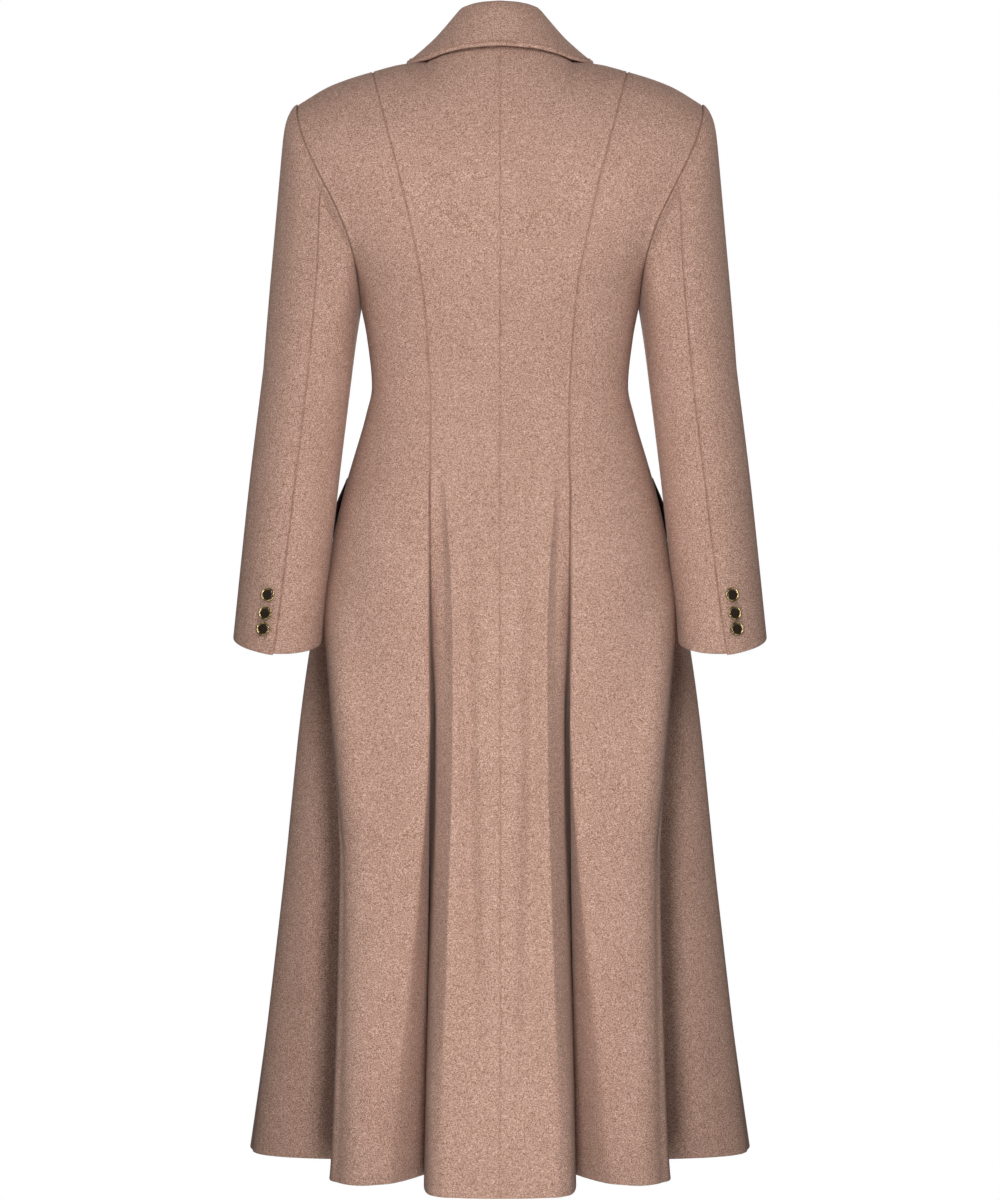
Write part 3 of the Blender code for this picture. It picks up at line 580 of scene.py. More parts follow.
def body(q, v, is_back):
    """The coat's body, wearer's left half, as points for q round it and v up it."""
    q, v = np.broadcast_arrays(np.asarray(q, float), np.asarray(v, float))
    low = 1 - (1 - np.clip(v, 0, 1)) ** ROW_CROWDING
    rise = (1 - np.cos(math.pi * np.clip(v - 1, 0, 1))) / 2
    below = lower_body(q, HEM + (UNDERARM - HEM) * low)
    above = upper_body(q, rise, is_back)
    return np.where((v <= 1)[..., None], below, above)


def height_to_v(z):
    """The v of a height between the hem and the underarm."""
    return 1 - (1 - (np.asarray(z, float) - HEM) / (UNDERARM - HEM)) ** (1 / ROW_CROWDING)


def normals(surface, a, b, a_range, b_range):
    """Unit normals of a surface by differences that stay within the given ranges of its two variables."""
    a, b = np.broadcast_arrays(np.asarray(a, float), np.asarray(b, float))
    a_low = np.clip(a - STEP, *a_range)
    a_high = np.clip(a + STEP, *a_range)
    b_low = np.clip(b - STEP, *b_range)
    b_high = np.clip(b + STEP, *b_range)
    along_a = surface(a_high, b) - surface(a_low, b)
    along_b = surface(a, b_high) - surface(a, b_low)
    return unit(np.cross(along_a, along_b))


def body_normals(q, v, gore):
    """Outward normals of one gore, shared with its neighbour along a seam."""
    is_back = gore < 2

    def own(a, b):
        return body(a, b, is_back)

    inside = (gore + EDGE, gore + 1 - EDGE)
    found = normals(own, q, v, inside, (0, 2))
    for line, neighbour in ((gore, gore - 1), (gore + 1, gore + 1)):
        on_line = np.abs(q - line) < 2 * EDGE
        if line == 0:
            found[on_line, 0] = 0.0
        elif line < 4:
            other_back = neighbour < 2

            def other(a, b, other_back=other_back):
                return body(a, b, other_back)

            beside = normals(other, q, v, (neighbour + EDGE, neighbour + 1 - EDGE), (0, 2))
            sewn = on_line & ((line != 2) | (v < 1 + EDGE))
            found = np.where(sewn[..., None], found + beside, found)
    return -unit(found)


def arm_ring(turn, z):
    """The sleeve's ring at a height: turn 0 inner, 0.25 back, 0.5 outer, 0.75 front."""
    angle = 2 * math.pi * turn
    ring = read_row(SLEEVE, SLEEVE_COLUMNS, z)
    x = ring["x"] - ring["half_width"] * np.cos(angle)
    y = ring["y"] + ring["half_depth"] * np.sin(angle)
    return np.stack([x, y, z], axis=-1)


def armhole(turn):
    """The armhole loop, from the underarm up the back to the shoulder and down the front."""
    turn = turn % 1.0
    at_back = turn < 0.5
    climb = np.where(at_back, turn / 0.5, (1 - turn) / 0.5)
    rise = (1 - np.cos(math.pi * climb)) / 2
    back = upper_body(np.full_like(turn, 2 - TINY), rise, np.full(turn.shape, True))
    front = upper_body(np.full_like(turn, 2 + TINY), rise, np.full(turn.shape, False))
    loop = np.where(at_back[..., None], back, front)
    loop[..., 0] += SLEEVE_GAP
    return loop, rise


def sleeve(turn, down):
    """The wearer's left sleeve: a rolled cap from the armhole to the upper arm, then rings to the cuff."""
    turn, down = np.broadcast_arrays(np.asarray(turn, float), np.asarray(down, float))
    start, climb = armhole(turn)
    angle = 2 * math.pi * turn
    upper = arm_ring(turn, np.full_like(turn, UPPER_ARM))
    ahead = arm_ring(turn, np.full_like(turn, UPPER_ARM - STEP))
    t = np.clip(down / CAP_SHARE, 0, 1)[..., None]
    fall = (start[..., 2:] - upper[..., 2:]) / STEP
    cap = hermite(start, upper, upper - start, (ahead - upper) * fall, t)
    out = np.stack([CAP_WIDE * (1 - np.cos(angle)), CAP_DEEP * np.sin(angle), 0 * angle], axis=-1)
    roll = 1 - np.exp(-t / CAP_TURN) - t
    cap = cap + out * CAP_ROLL * climb[..., None] * roll
    cuff_z = CUFF - CUFF_TILT * np.sin(angle) - CUFF_SLANT * np.cos(angle)
    along = np.clip((down - CAP_SHARE) / (1 - CAP_SHARE), 0, 1)
    arm = arm_ring(turn, UPPER_ARM + (CUFF - UPPER_ARM) * along)
    arm[..., 2] = UPPER_ARM + (cuff_z - UPPER_ARM) * along
    return np.where(down[..., None] < CAP_SHARE, cap, arm)


def back_seam_turn(down):
    """Where the sleeve's back seam lies round the sleeve: a parabola through three turns."""
    top, middle, cuff = SLEEVE_BACK_SEAM
    return top * (1 - down) ** 2 + (4 * middle - top - cuff) * down * (1 - down) + cuff * down**2


def collar_point(turn, share):
    """The collar by angle and by share of its depth, from the neck seam over the roll to the outer edge."""
    degrees = np.abs(turn)
    line = read_row(COLLAR, COLLAR_COLUMNS, degrees)
    base = np.stack([line["base_r"], line["base_z"]], axis=-1)
    roll = np.stack([line["roll_r"], line["roll_z"]], axis=-1)
    edge = np.stack([line["edge_r"], line["edge_z"]], axis=-1)
    stand = np.linalg.norm(roll - base, axis=-1, keepdims=True)
    drop = np.linalg.norm(edge - roll, axis=-1, keepdims=True)
    upward = np.array([0.0, 1.0])
    outward = np.array([1.0, COLLAR_LEAN])
    up = np.clip(share / COLLAR_ROLL_SHARE, 0, 1)[..., None]
    over = np.clip((share - COLLAR_ROLL_SHARE) / (1 - COLLAR_ROLL_SHARE), 0, 1)[..., None]
    standing = hermite(base, roll, upward * stand, outward * stand * COLLAR_STAND_PULL, up)
    falling = hermite(roll, edge, outward * drop * COLLAR_FALL_PULL, (edge - roll) * COLLAR_EDGE_PULL, over)
    reach = np.where(up < 1, standing, falling)
    to_end = signed_power(turn / COLLAR_END, COLLAR_SPREAD_POWER)
    angle = np.radians(turn - COLLAR_SPREAD * over[..., 0] * to_end)
    x = reach[..., 0] * np.sin(angle)
    y = NECK_AXIS_Y + reach[..., 0] * np.cos(angle)
    return np.stack([x, y, reach[..., 1]], axis=-1)


def spread(surface, start, end, rows, step=COLUMN_STEP, offsets=EDGE_OFFSETS):
    """Columns across a surface by length along each row: close beside both edges, then even.

    Returns the first variable on the grid and each point's distance from the first and the last edge.
    """
    share = np.linspace(0, 1, FINE_STEPS)[:, None]
    fine = start + (end - start) * share
    fine, across = np.broadcast_arrays(fine, rows)
    points = surface(fine, across)
    length = np.concatenate(
        [np.zeros((1, rows.shape[1])), np.cumsum(np.linalg.norm(np.diff(points, axis=0), axis=-1), axis=0)]
    )
    total = length[-1]
    inset = offsets[:, None]
    count = max(int(math.ceil(total.max() / step)), 4)
    even = np.linspace(0, 1, count + 1)[1:-1, None]
    middle = offsets[-1] + (total - 2 * offsets[-1]) * even
    place = np.concatenate([inset + 0 * total, middle, (total - inset)[::-1]])
    lift = 2.0 * np.arange(rows.shape[1])
    known = (length / total + lift).T.ravel()
    found = np.interp((place / total + lift).T.ravel(), known, fine.T.ravel())
    return found.reshape(rows.shape[1], -1).T, place, total - place


def body_rows():
    """Values of v from the hem to the top edge, close beside both, then about evenly."""
    low = np.concatenate([HEM + EDGE_OFFSETS, np.arange(HEM + HEM_ROWS_TO, UNDERARM, ROW_STEP), [UNDERARM]])
    count = int(round((SHOULDER_Z - UNDERARM) / ROW_STEP * UPPER_ROWS))
    rise = np.linspace(0, 1, count + 1)[1:]
    high = 1 + np.arccos(1 - 2 * rise) / math.pi
    return np.concatenate([height_to_v(low), high])


def edge_round(distance, radius):
    """Drop of a face beside a rounded edge: a quarter circle of the given radius."""
    inside = np.clip(radius - distance, 0, radius)
    return radius - np.sqrt(radius**2 - inside**2)


def crease_field(panel, points):
    """Soft folds of one panel: across each a bell curve, along it a sine that dies away at both ends.

    A fold of positive depth fills the valley at the side seam, so it eases out towards the front.
    """
    x, y, z = np.moveaxis(points, -1, 0)
    field = np.zeros_like(x)
    for row in CREASES:
        crease = dict(zip(CREASE_COLUMNS, row))
        if crease["panel"] != panel:
            continue
        start = np.array([crease["x_from"], crease["z_from"]])
        chord = np.array([crease["x_to"], crease["z_to"]]) - start
        length = np.linalg.norm(chord)
        along_x, along_z = chord / length
        along = ((x - start[0]) * along_x + (z - start[1]) * along_z) / length
        beside = -(x - start[0]) * along_z + (z - start[1]) * along_x
        inside = np.clip(along, 0, 1)
        offset = beside - crease["bow"] * 4 * inside * (1 - inside)
        fade = np.sin(math.pi * inside) ** CREASE_FADE
        here = soft_step(y / SIDE_FILL_EASE) if crease["depth"] > 0 else 1.0
        field += here * crease["depth"] * fade * bell(offset, crease["half_width"])
    return field


def pleat_depth(name, x, distance, z):
    """How deep the back pleats lie: on the back a sloping strip and a soft step down into the slit beyond it.

    On the side back, whose edge laps over the slit, a bell curve from the seam.
    """
    line = read_row(SLIT, SLIT_COLUMNS, z)
    if name == "back":
        step = 0.5 + 0.5 * np.tanh((x - line["edge_x"]) / line["soft"])
        return strip_drop(x, z) + line["depth"] * step
    bottom = line["depth"] + read(STRIP, STRIP_COLUMNS, "drop", z)
    return bottom * bell(distance, line["side_width"])


def strip_drop(x, z):
    """How far the strip beside a slit lies below the centre lobe.

    A slope from a bend across, steepest at the bend, less a parabola that levels it towards the slit.
    """
    line = read_row(STRIP, STRIP_COLUMNS, z)
    share = np.clip((x - line["bend_x"]) / line["width"], 0, 1)
    slope = line["drop"] * (1 - (1 - share) ** STRIP_POWER)
    level = line["lift"] * np.clip((x - line["bend_x"]) / (STRIP_END - line["bend_x"]), 0, 1) ** 2
    return slope - level


def overhang(q, z):
    """How far the side back's fold edge is drawn over the slit: all at the edge, dying away on both sides."""
    wall, opened = side_back_wall(z)
    edge = wall * opened
    share = q - 1
    beyond = bell(share - edge, OVERHANG_REACH)
    return read(SLIT, SLIT_COLUMNS, "overhang", z) * np.where(share < edge, share / edge, beyond)


def seam_drop(distance, cloth):
    """How deep the cloth lies beside a seam: a narrow bell curve, less a low ridge next to it."""
    ridge = bell(distance - 2 * cloth.seam_width, cloth.seam_width)
    return cloth.seam_depth * (bell(distance, cloth.seam_width) - SEAM_RIDGE * ridge)


def armhole_stand(points, distance, cloth):
    """How far the cloth beside the armhole moves back: a wide bell curve from the seam, less a narrow groove.

    On the front the groove goes the other way and there is no bell curve.
    """
    z = points[..., 2]
    at_back = soft_step(points[..., 1] / ARMHOLE_FRONT + 1)
    reach = read(ARMHOLE, ARMHOLE_COLUMNS, "reach", z)
    stand = read(ARMHOLE, ARMHOLE_COLUMNS, "stand", z) * bell(distance, reach)
    groove = cloth.seam_depth * bell(distance, cloth.seam_width) * (z > UNDERARM - EDGE)
    return stand * at_back - groove * np.tanh(points[..., 1] / ARMHOLE_FRONT)


def over_shoulder(points):
    """1 where the armhole goes over the shoulder, 0 below, with a soft step between."""
    return soft_step((points[..., 2] - ARMHOLE_OVER) / ARMHOLE_OVER_EASE)


def armhole_sink(points, distance, cloth):
    """How far the cloth beside the armhole drops over the shoulder: a narrow bell curve from the seam."""
    return over_shoulder(points) * cloth.seam_depth * bell(distance, cloth.seam_width)


def lap_inset(share):
    """How far the under front is let in, so that the upper front lies over it."""
    return LAP_DEPTH * soft_step((share - LAP_FROM) / LAP_EASE)


def grid_quads(columns, rows, first=0):
    """Corners of the faces of a grid whose points are numbered row by row within each column."""
    index = first + np.arange(columns * rows).reshape(columns, rows)
    corners = (index[:-1, :-1], index[1:, :-1], index[1:, 1:], index[:-1, 1:])
    return np.stack([corner.ravel() for corner in corners], axis=-1)


def shell(name, outer, inner, side, materials):
    """A closed wall between two grids of points, joined round their border, mirrored for the right side."""
    columns, rows = outer.shape[:2]
    count = columns * rows
    points = np.concatenate([outer.reshape(-1, 3), inner.reshape(-1, 3)]) * np.array([side, 1.0, 1.0])
    index = np.arange(count).reshape(columns, rows)
    loop = np.concatenate([index[:-1, 0], index[-1, :-1], index[:0:-1, -1], index[0, :0:-1]])
    after = np.roll(loop, -1)
    face = grid_quads(columns, rows)
    back = grid_quads(columns, rows, count)[:, ::-1]
    rim = np.stack([after, loop, loop + count, after + count], axis=-1)
    quads = np.concatenate([face, back, rim])
    diagonal = points[face[:, 2]] - points[face[:, 0]]
    other = points[face[:, 3]] - points[face[:, 1]]
    outward = points[face[:, 0]] - points[face[:, 0] + count]
    if np.sum(np.cross(diagonal, other) * outward) < 0:
        quads = quads[:, ::-1]
    return mesh_object(name, points, quads.tolist(), materials)


def mesh_object(name, points, faces, materials):
    """An object at the origin from an array of points and a list of faces, shaded smooth."""
    mesh = bpy.data.meshes.new(name)
    mesh.from_pydata(points.tolist(), [], faces)
    mesh.validate()
    mesh.shade_smooth()
    for material in materials:
        mesh.materials.append(material)
    thing = bpy.data.objects.new(name, mesh)
    bpy.context.scene.collection.objects.link(thing)
    return thing


def dress(thing, node):
    """A piece that stands for a CAD node and rides on the coat's one body."""
    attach(thing, "root")
    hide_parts(node)


def panel_faces(gore, name, side, cloth):
    """Outer and inner points of one panel: the body's surface, let in at its seams and folded."""
    is_back = gore < 2
    rows = body_rows()[None, :]

    def surface(q, v):
        return body(q, v, is_back)

    step = PLEAT_COLUMN_STEP if name == "back" else COLUMN_STEP
    q, from_first, from_last = spread(surface, gore + EDGE, gore + 1 - EDGE, rows, step)
    v = np.broadcast_to(rows, q.shape)
    base = surface(q, v)
    out = body_normals(q, v, gore)
    x, z = base[..., 0], base[..., 2]
    base = base + out * crease_field(name, base)[..., None]
    if is_back:
        base[..., 1] -= pleat_depth(name, x, from_first, z) * (z < PLEAT_TOP)
    if name == "side_back":
        base[..., 0] -= overhang(q, z) * (z < PLEAT_TOP)
        base[..., 1] += armhole_stand(base, from_last, cloth)
        base[..., 2] -= armhole_sink(base, from_last, cloth)
    if name == "side_front":
        base[..., 1] += armhole_stand(base, from_first, cloth)
        base[..., 2] -= armhole_sink(base, from_first, cloth)
    if name == "front" and side > 0:
        base = base - out * lap_inset(q - gore)[..., None]
    drop = np.zeros_like(from_first)
    for distance, seam in ((from_first, gore), (from_last, gore + 1)):
        if seam == 4:
            drop += edge_round(distance, cloth.edge_radius)
        else:
            fading = 1 - soft_step((v - SEAM_FADE_FROM) / (2 - SEAM_FADE_FROM))
            sewn = (v < 1 + EDGE) if seam == 2 else fading
            drop += seam_drop(distance, cloth) * sewn * (CENTRE_SEAM if seam == 0 else 1.0)
    from_hem = base[..., 2] - base[:, :1, 2]
    hem = edge_round(from_hem, cloth.edge_radius)
    outer = base - out * (drop + hem)[..., None]
    inner = base - out * (cloth.wall - hem)[..., None]
    return outer, inner


class CoatCloth(PropertyGroup):
    """Sizes and colours of the cloth."""

    wall: FloatProperty(
        name="Wall", description="Thickness of the wool", default=0.0025, min=0.001, unit="LENGTH"
    )
    seam_depth: FloatProperty(
        name="Seam Depth", description="How deep the cloth sinks at a seam", default=0.0016, unit="LENGTH"
    )
    seam_width: FloatProperty(
        name="Seam Width", description="How far from a seam the cloth sinks", default=0.0009, unit="LENGTH"
    )
    edge_radius: FloatProperty(
        name="Edge Radius", description="Rounding of the free edges", default=0.0011, unit="LENGTH"
    )
    camel: FloatVectorProperty(
        name="Camel", description="Middle colour of the wool", default=(0.47, 0.285, 0.22), subtype="COLOR"
    )
    dark_fibre: FloatVectorProperty(
        name="Dark Fibre", description="Dark fibres of the wool", default=(0.24, 0.13, 0.092), subtype="COLOR"
    )
    light_fibre: FloatVectorProperty(
        name="Light Fibre", description="Light fibres of the wool", default=(0.74, 0.52, 0.43),
        subtype="COLOR",
    )
    # The flaps' near-black colour is painted shade: it stands for the shadow under and behind a standing
    # flap.
    flap_shade_colour: FloatVectorProperty(
        name="Flap", description="Colour of the pocket flaps", default=(0.030, 0.018, 0.015), subtype="COLOR"
    )


class CoatTrim(PropertyGroup):
    """Sizes and colours of the buttons and the stitching."""

    cuff_button: FloatProperty(
        name="Cuff Button", description="Radius of a cuff button", default=0.0075, unit="LENGTH"
    )
    front_button: FloatProperty(
        name="Front Button", description="Radius of a front button", default=0.012, unit="LENGTH"
    )
    stitch_inset: FloatProperty(
        name="Stitch Inset", description="Distance of the stitching from the collar's edge", default=0.0042,
        unit="LENGTH",
    )
    stitch_width: FloatProperty(
        name="Stitch Width", description="Half the width of the groove along the stitching", default=0.0008,
        unit="LENGTH",
    )
    stitch_depth: FloatProperty(
        name="Stitch Depth", description="Depth of the groove along the stitching", default=0.0017,
        unit="LENGTH",
    )
    brass: FloatVectorProperty(
        name="Brass", description="Worn rim of a button", default=(0.75, 0.57, 0.28), subtype="COLOR"
    )
    # The dark face colour also paints the shade on each button's side.
    dark_face_and_side_shade: FloatVectorProperty(
        name="Button Face", description="Dark face of a button", default=(0.024, 0.013, 0.006),
        subtype="COLOR",
    )


class CoatStage(PropertyGroup):
    """Camera, lights and floor."""

    camera_back: FloatProperty(
        name="Camera Distance", description="Camera to the coat's centre", default=3.2, unit="LENGTH"
    )
    camera_height: FloatProperty(
        name="Camera Height", description="Camera against the neck", default=-0.585, unit="LENGTH"
    )
    lens: FloatProperty(name="Lens", description="Focal length in millimetres", default=88.08)
    floor_drop: FloatProperty(
        name="Floor", description="Floor below the lowest hem", default=0.19, unit="LENGTH"
    )
    key_power: FloatProperty(name="Key", description="Power of each tall light", default=9.1, unit="POWER")
    key_width: FloatProperty(
        name="Key Width", description="Width of each tall light", default=0.12, unit="LENGTH"
    )
    key_height: FloatProperty(
        name="Key Height", description="Height of each tall light", default=2.0, unit="LENGTH"
    )
    key_distance: FloatProperty(
        name="Key Distance", description="Tall lights to the coat's centre", default=0.9, unit="LENGTH"
    )
    key_level: FloatProperty(
        name="Key Level", description="Middle of the tall lights against the neck", default=-0.56,
        unit="LENGTH",
    )
    fill_power: FloatProperty(
        name="Fill", description="Power of each broad light", default=94.0, unit="POWER"
    )
    fill_size: FloatProperty(
        name="Fill Size", description="Side of each broad light", default=9.0, unit="LENGTH"
    )
    fill_distance: FloatProperty(
        name="Fill Distance", description="Broad lights to the coat's centre", default=4.0, unit="LENGTH"
    )
    fill_level: FloatProperty(
        name="Fill Level", description="Middle of the broad lights against the neck", default=-0.15,
        unit="LENGTH",
    )
    side_power: FloatProperty(name="Side", description="Power of each side light", default=4.0, unit="POWER")
    side_size: FloatProperty(
        name="Side Size", description="Side of each side light", default=0.8, unit="LENGTH"
    )
    side_place: FloatVectorProperty(
        name="Side Place", description="Side lights from the neck", default=(1.15, 0.7, 0.3), subtype="XYZ"
    )
    ambient: FloatProperty(name="Ambient", description="Light from all round", default=0.02)


class COAT_OT_body_panels(Operator):
    """Build the eight panels of the body"""

    bl_idname = "coat.body_panels"
    bl_label = "Body Panels"

    def execute(self, context):
        cloth = context.scene.coat_cloth
        wool = wool_material(cloth)
        for gore, name in enumerate(GORES):
            for side, word in SIDES:
                outer, inner = panel_faces(gore, name, side, cloth)
                thing = shell(f"wool_{name}_{word}", outer, inner, side, [wool])
                dress(thing, f"{name}_{word}")
        return {"FINISHED"}


def sleeve_piece(piece, cloth):
    """Outer and inner points of the top or under sleeve: the sleeve's surface, let in at its seams.

    Beside the vent above the cuff the top sleeve is moved out and across by bell curves, and its corner down.
    """
    step = np.linspace(0, 1, CAP_ROWS + 1)[1:]
    cap_rows = CAP_FIRST_ROW + (1 - CAP_FIRST_ROW) * step**CAP_ROW_POWER
    on_cap = np.concatenate([EDGE_OFFSETS / CAP_LENGTH, cap_rows]) * CAP_SHARE
    arm_steps = int(round((UPPER_ARM - CUFF) / ROW_STEP))
    on_arm = np.linspace(0, 1, arm_steps)[1:-1]
    near_cuff = 1 - EDGE_OFFSETS[::-1] / (UPPER_ARM - CUFF)
    on_arm = np.concatenate([on_arm[on_arm < near_cuff[0] - CUFF_ROW_GAP], near_cuff])
    rows = np.concatenate([on_cap, CAP_SHARE + (1 - CAP_SHARE) * on_arm])[None, :]
    is_top = piece == "top"

    def turn_at(share, down):
        seam = back_seam_turn(down)
        first, last = (seam, SLEEVE_FRONT_SEAM) if is_top else (SLEEVE_FRONT_SEAM - 1, seam)
        return first + (last - first) * share

    def surface(share, down):
        return sleeve(turn_at(share, down), down)

    share, from_first, from_last = spread(surface, 0.0, 1.0, rows)
    down = np.broadcast_to(rows, share.shape)
    turn = turn_at(share, down)
    from_back, from_front = (from_first, from_last) if is_top else (from_last, from_first)
    base = sleeve(turn, down)
    out = normals(sleeve, turn, down, (-2, 2), (0, 1))
    run = np.cumsum(np.linalg.norm(np.diff(base, axis=1), axis=-1), axis=1)
    from_armhole = np.concatenate([np.zeros((len(base), 1)), run], axis=1)
    past_roll = from_armhole / HEAD_LIFT_REACH
    roll = over_shoulder(base) * HEAD_LIFT * past_roll * np.exp(1 - past_roll)
    base[..., 1] += armhole_stand(base, from_armhole, cloth)
    base[..., 2] += roll - armhole_sink(base, from_armhole, cloth)
    vent = soft_step((VENT_TOP - base[..., 2]) / VENT_EASE)
    away = soft_step(from_armhole / SEAM_START)
    front_drop = seam_drop(from_front, cloth) * away
    back_drop = seam_drop(from_back, cloth) * away
    from_cuff = np.abs(base[..., 2] - base[:, -1:, 2])
    hem = edge_round(from_cuff, cloth.edge_radius)
    if is_top:
        beside = bell(from_back, VENT_REACH)
        along = unit(np.gradient(base, axis=0))
        base = base + out * (VENT_LIFT * vent * beside)[..., None]
        base = base - along * (VENT_LAP * vent * beside)[..., None]
        corner = bell(from_back, VENT_DROP_REACH) * bell(from_cuff, VENT_DROP_REACH)
        base[..., 2] -= VENT_DROP * corner
        hem = hem + edge_round(from_back, cloth.edge_radius) * vent
    outer = base - out * (front_drop + back_drop + hem)[..., None]
    inner = base - out * np.maximum(cloth.wall - hem, LEAST_WALL)[..., None]
    return outer, inner


class COAT_OT_sleeves(Operator):
    """Build both two-piece sleeves"""

    bl_idname = "coat.sleeves"
    bl_label = "Sleeves"

    def execute(self, context):
        cloth = context.scene.coat_cloth
        wool = wool_material(cloth)
        for piece in ("top", "under"):
            outer, inner = sleeve_piece(piece, cloth)
            for side, word in SIDES:
                thing = shell(f"wool_{piece}_sleeve_{word}", outer, inner, side, [wool])
                dress(thing, f"{piece}_sleeve_{word}")
        return {"FINISHED"}


def collar_turns():
    """Angles of the collar's rows: even, then close beside its free ends."""
    ends = np.degrees(EDGE_OFFSETS / COLLAR_END_RADIUS)
    half = np.linspace(0, COLLAR_END - ends[-1] - COLLAR_END_GAP, COLLAR_ROWS + 1)[1:]
    right = np.concatenate([half, COLLAR_END - ends[::-1]])
    return np.concatenate([-right[::-1], [0.0], right])[None, :]


def collar_faces(cloth, trim):
    """Points of the collar's two faces, rounded at its edges.

    The second face shows on the fall. It sinks along the stitching in a bell curve, less low ridges.
    """
    turns = collar_turns()

    def surface(share, turn):
        return collar_point(turn, share)

    share, _from_base, from_edge = spread(surface, 0.0, 1.0, turns, COLLAR_STEP, COLLAR_OFFSETS)
    turn = np.broadcast_to(turns, share.shape)
    base = collar_point(turn, share)
    out = -normals(collar_point, turn, share, (-COLLAR_END, COLLAR_END), (0, 1))
    from_end = np.radians(COLLAR_END - np.abs(turn)) * np.linalg.norm(base[..., :2], axis=-1)
    nearest = np.minimum(from_edge, from_end)
    beside = np.abs(nearest - trim.stitch_inset)
    groove = bell(beside, trim.stitch_width)
    ridge = bell(beside - 2 * trim.stitch_width, trim.stitch_width)
    stitch = trim.stitch_depth * (groove - STITCH_RIDGE * ridge)
    on_fall = soft_step((share - COLLAR_ROLL_SHARE) / STITCH_EASE)
    round_edge = edge_round(from_edge, cloth.edge_radius) + edge_round(from_end, cloth.edge_radius)
    round_edge = np.minimum(round_edge, cloth.edge_radius)
    thickness = COLLAR_CLOTH + (COLLAR_EDGE_CLOTH - COLLAR_CLOTH) * share**COLLAR_THIN_POWER
    outer = base - out * round_edge[..., None]
    inner = base - out * (thickness - round_edge - stitch * on_fall)[..., None]
    return outer, inner


class COAT_OT_collar(Operator):
    """Build the turned-down collar"""

    bl_idname = "coat.collar"
    bl_label = "Collar"

    def execute(self, context):
        cloth = context.scene.coat_cloth
        trim = context.scene.coat_trim
        wool = wool_material(cloth)
        outer, inner = collar_faces(cloth, trim)
        thing = shell("wool_collar", outer, inner, 1, [wool])
        dress(thing, "collar")
        return {"FINISHED"}


def flap_faces(cloth):
    """Outer and inner points of a flap: the side front's surface moved out, bowed, with round corners."""
    share, drop = np.meshgrid(*(np.linspace(0, 1, count) for count in FLAP_GRID), indexing="ij")
    bottom = FLAP_BOTTOM + FLAP_CORNER * np.abs(2 * share - 1) ** FLAP_CORNER_POWER
    q = FLAP_FROM + (FLAP_TO - FLAP_FROM) * share
    v = height_to_v(FLAP_TOP + (bottom - FLAP_TOP) * drop)
    out = body_normals(q, v, 2)
    bowed = np.sin(math.pi * (FLAP_BOW_FROM + FLAP_BOW_SPAN * drop)) ** FLAP_BOW_POWER
    stand = FLAP_GAP + FLAP_STAND * bowed
    inner = body(q, v, False) + out * stand[..., None]
    from_side = np.minimum(share, 1 - share) * FLAP_WIDTH
    from_edge = np.minimum(from_side, (1 - drop) * (FLAP_TOP - FLAP_BOTTOM))
    hem = edge_round(from_edge, cloth.edge_radius)
    return inner + out * (FLAP_CLOTH - hem)[..., None], inner + out * hem[..., None]


class COAT_OT_pocket_flaps(Operator):
    """Build the pocket flaps"""

    bl_idname = "coat.pocket_flaps"
    bl_label = "Pocket Flaps"

    def execute(self, context):
        cloth = context.scene.coat_cloth
        # The flaps get the near-black painted shade, not a cloth colour of their own.
        dark = painted_shade_flap_material(cloth)
        outer, inner = flap_faces(cloth)
        for side, word in SIDES:
            thing = shell(f"dark_pocket_flap_{word}", outer, inner, side, [dark])
            dress(thing, f"pocket_flap_{word}")
        return {"FINISHED"}


def turned_button(name, place, facing, radius, materials):
    """A button: its profile carried round an axis that faces out of the cloth."""
    facing = facing / np.linalg.norm(facing)
    first = unit(np.cross(facing, [0.0, 0.0, 1.0]))
    second = np.cross(facing, first)
    profile = np.array(BUTTON_PROFILE) * radius
    angle = np.linspace(0, 2 * math.pi, BUTTON_SIDES, endpoint=False)
    spoke = np.cos(angle)[:, None] * first + np.sin(angle)[:, None] * second
    ring = profile[1:-1]
    points = ring[:, None, :1] * spoke[None] + (ring[:, 1:] * facing)[:, None]
    count = len(ring)
    index = np.arange(count * BUTTON_SIDES).reshape(count, BUTTON_SIDES)
    beside = np.roll(index, -1, axis=1)
    wall = np.stack([index[:-1], beside[:-1], beside[1:], index[1:]], axis=-1).reshape(-1, 4)
    low = count * BUTTON_SIDES
    caps = np.concatenate([
        np.stack([beside[0], index[0], np.full(BUTTON_SIDES, low)], axis=-1),
        np.stack([index[-1], beside[-1], np.full(BUTTON_SIDES, low + 1)], axis=-1),
    ])
    poles = profile[[0, -1], 1][:, None] * facing
    points = np.concatenate([points.reshape(-1, 3), poles]) + place + facing * BUTTON_GAP
    thing = mesh_object(name, points, wall.tolist() + caps.tolist(), materials)
    ring_of_face = np.concatenate([
        np.repeat(np.arange(count - 1), BUTTON_SIDES),
        np.zeros(BUTTON_SIDES, int),
        np.full(BUTTON_SIDES, count),
    ])
    # Rings outside the brass rim get the dark colour too: painted shade on the button's back and side.
    face_or_shaded_side = (ring_of_face >= BUTTON_FACE) | (ring_of_face < BUTTON_RIM)
    thing.data.polygons.foreach_set("material_index", face_or_shaded_side.astype(np.int32))
    return thing


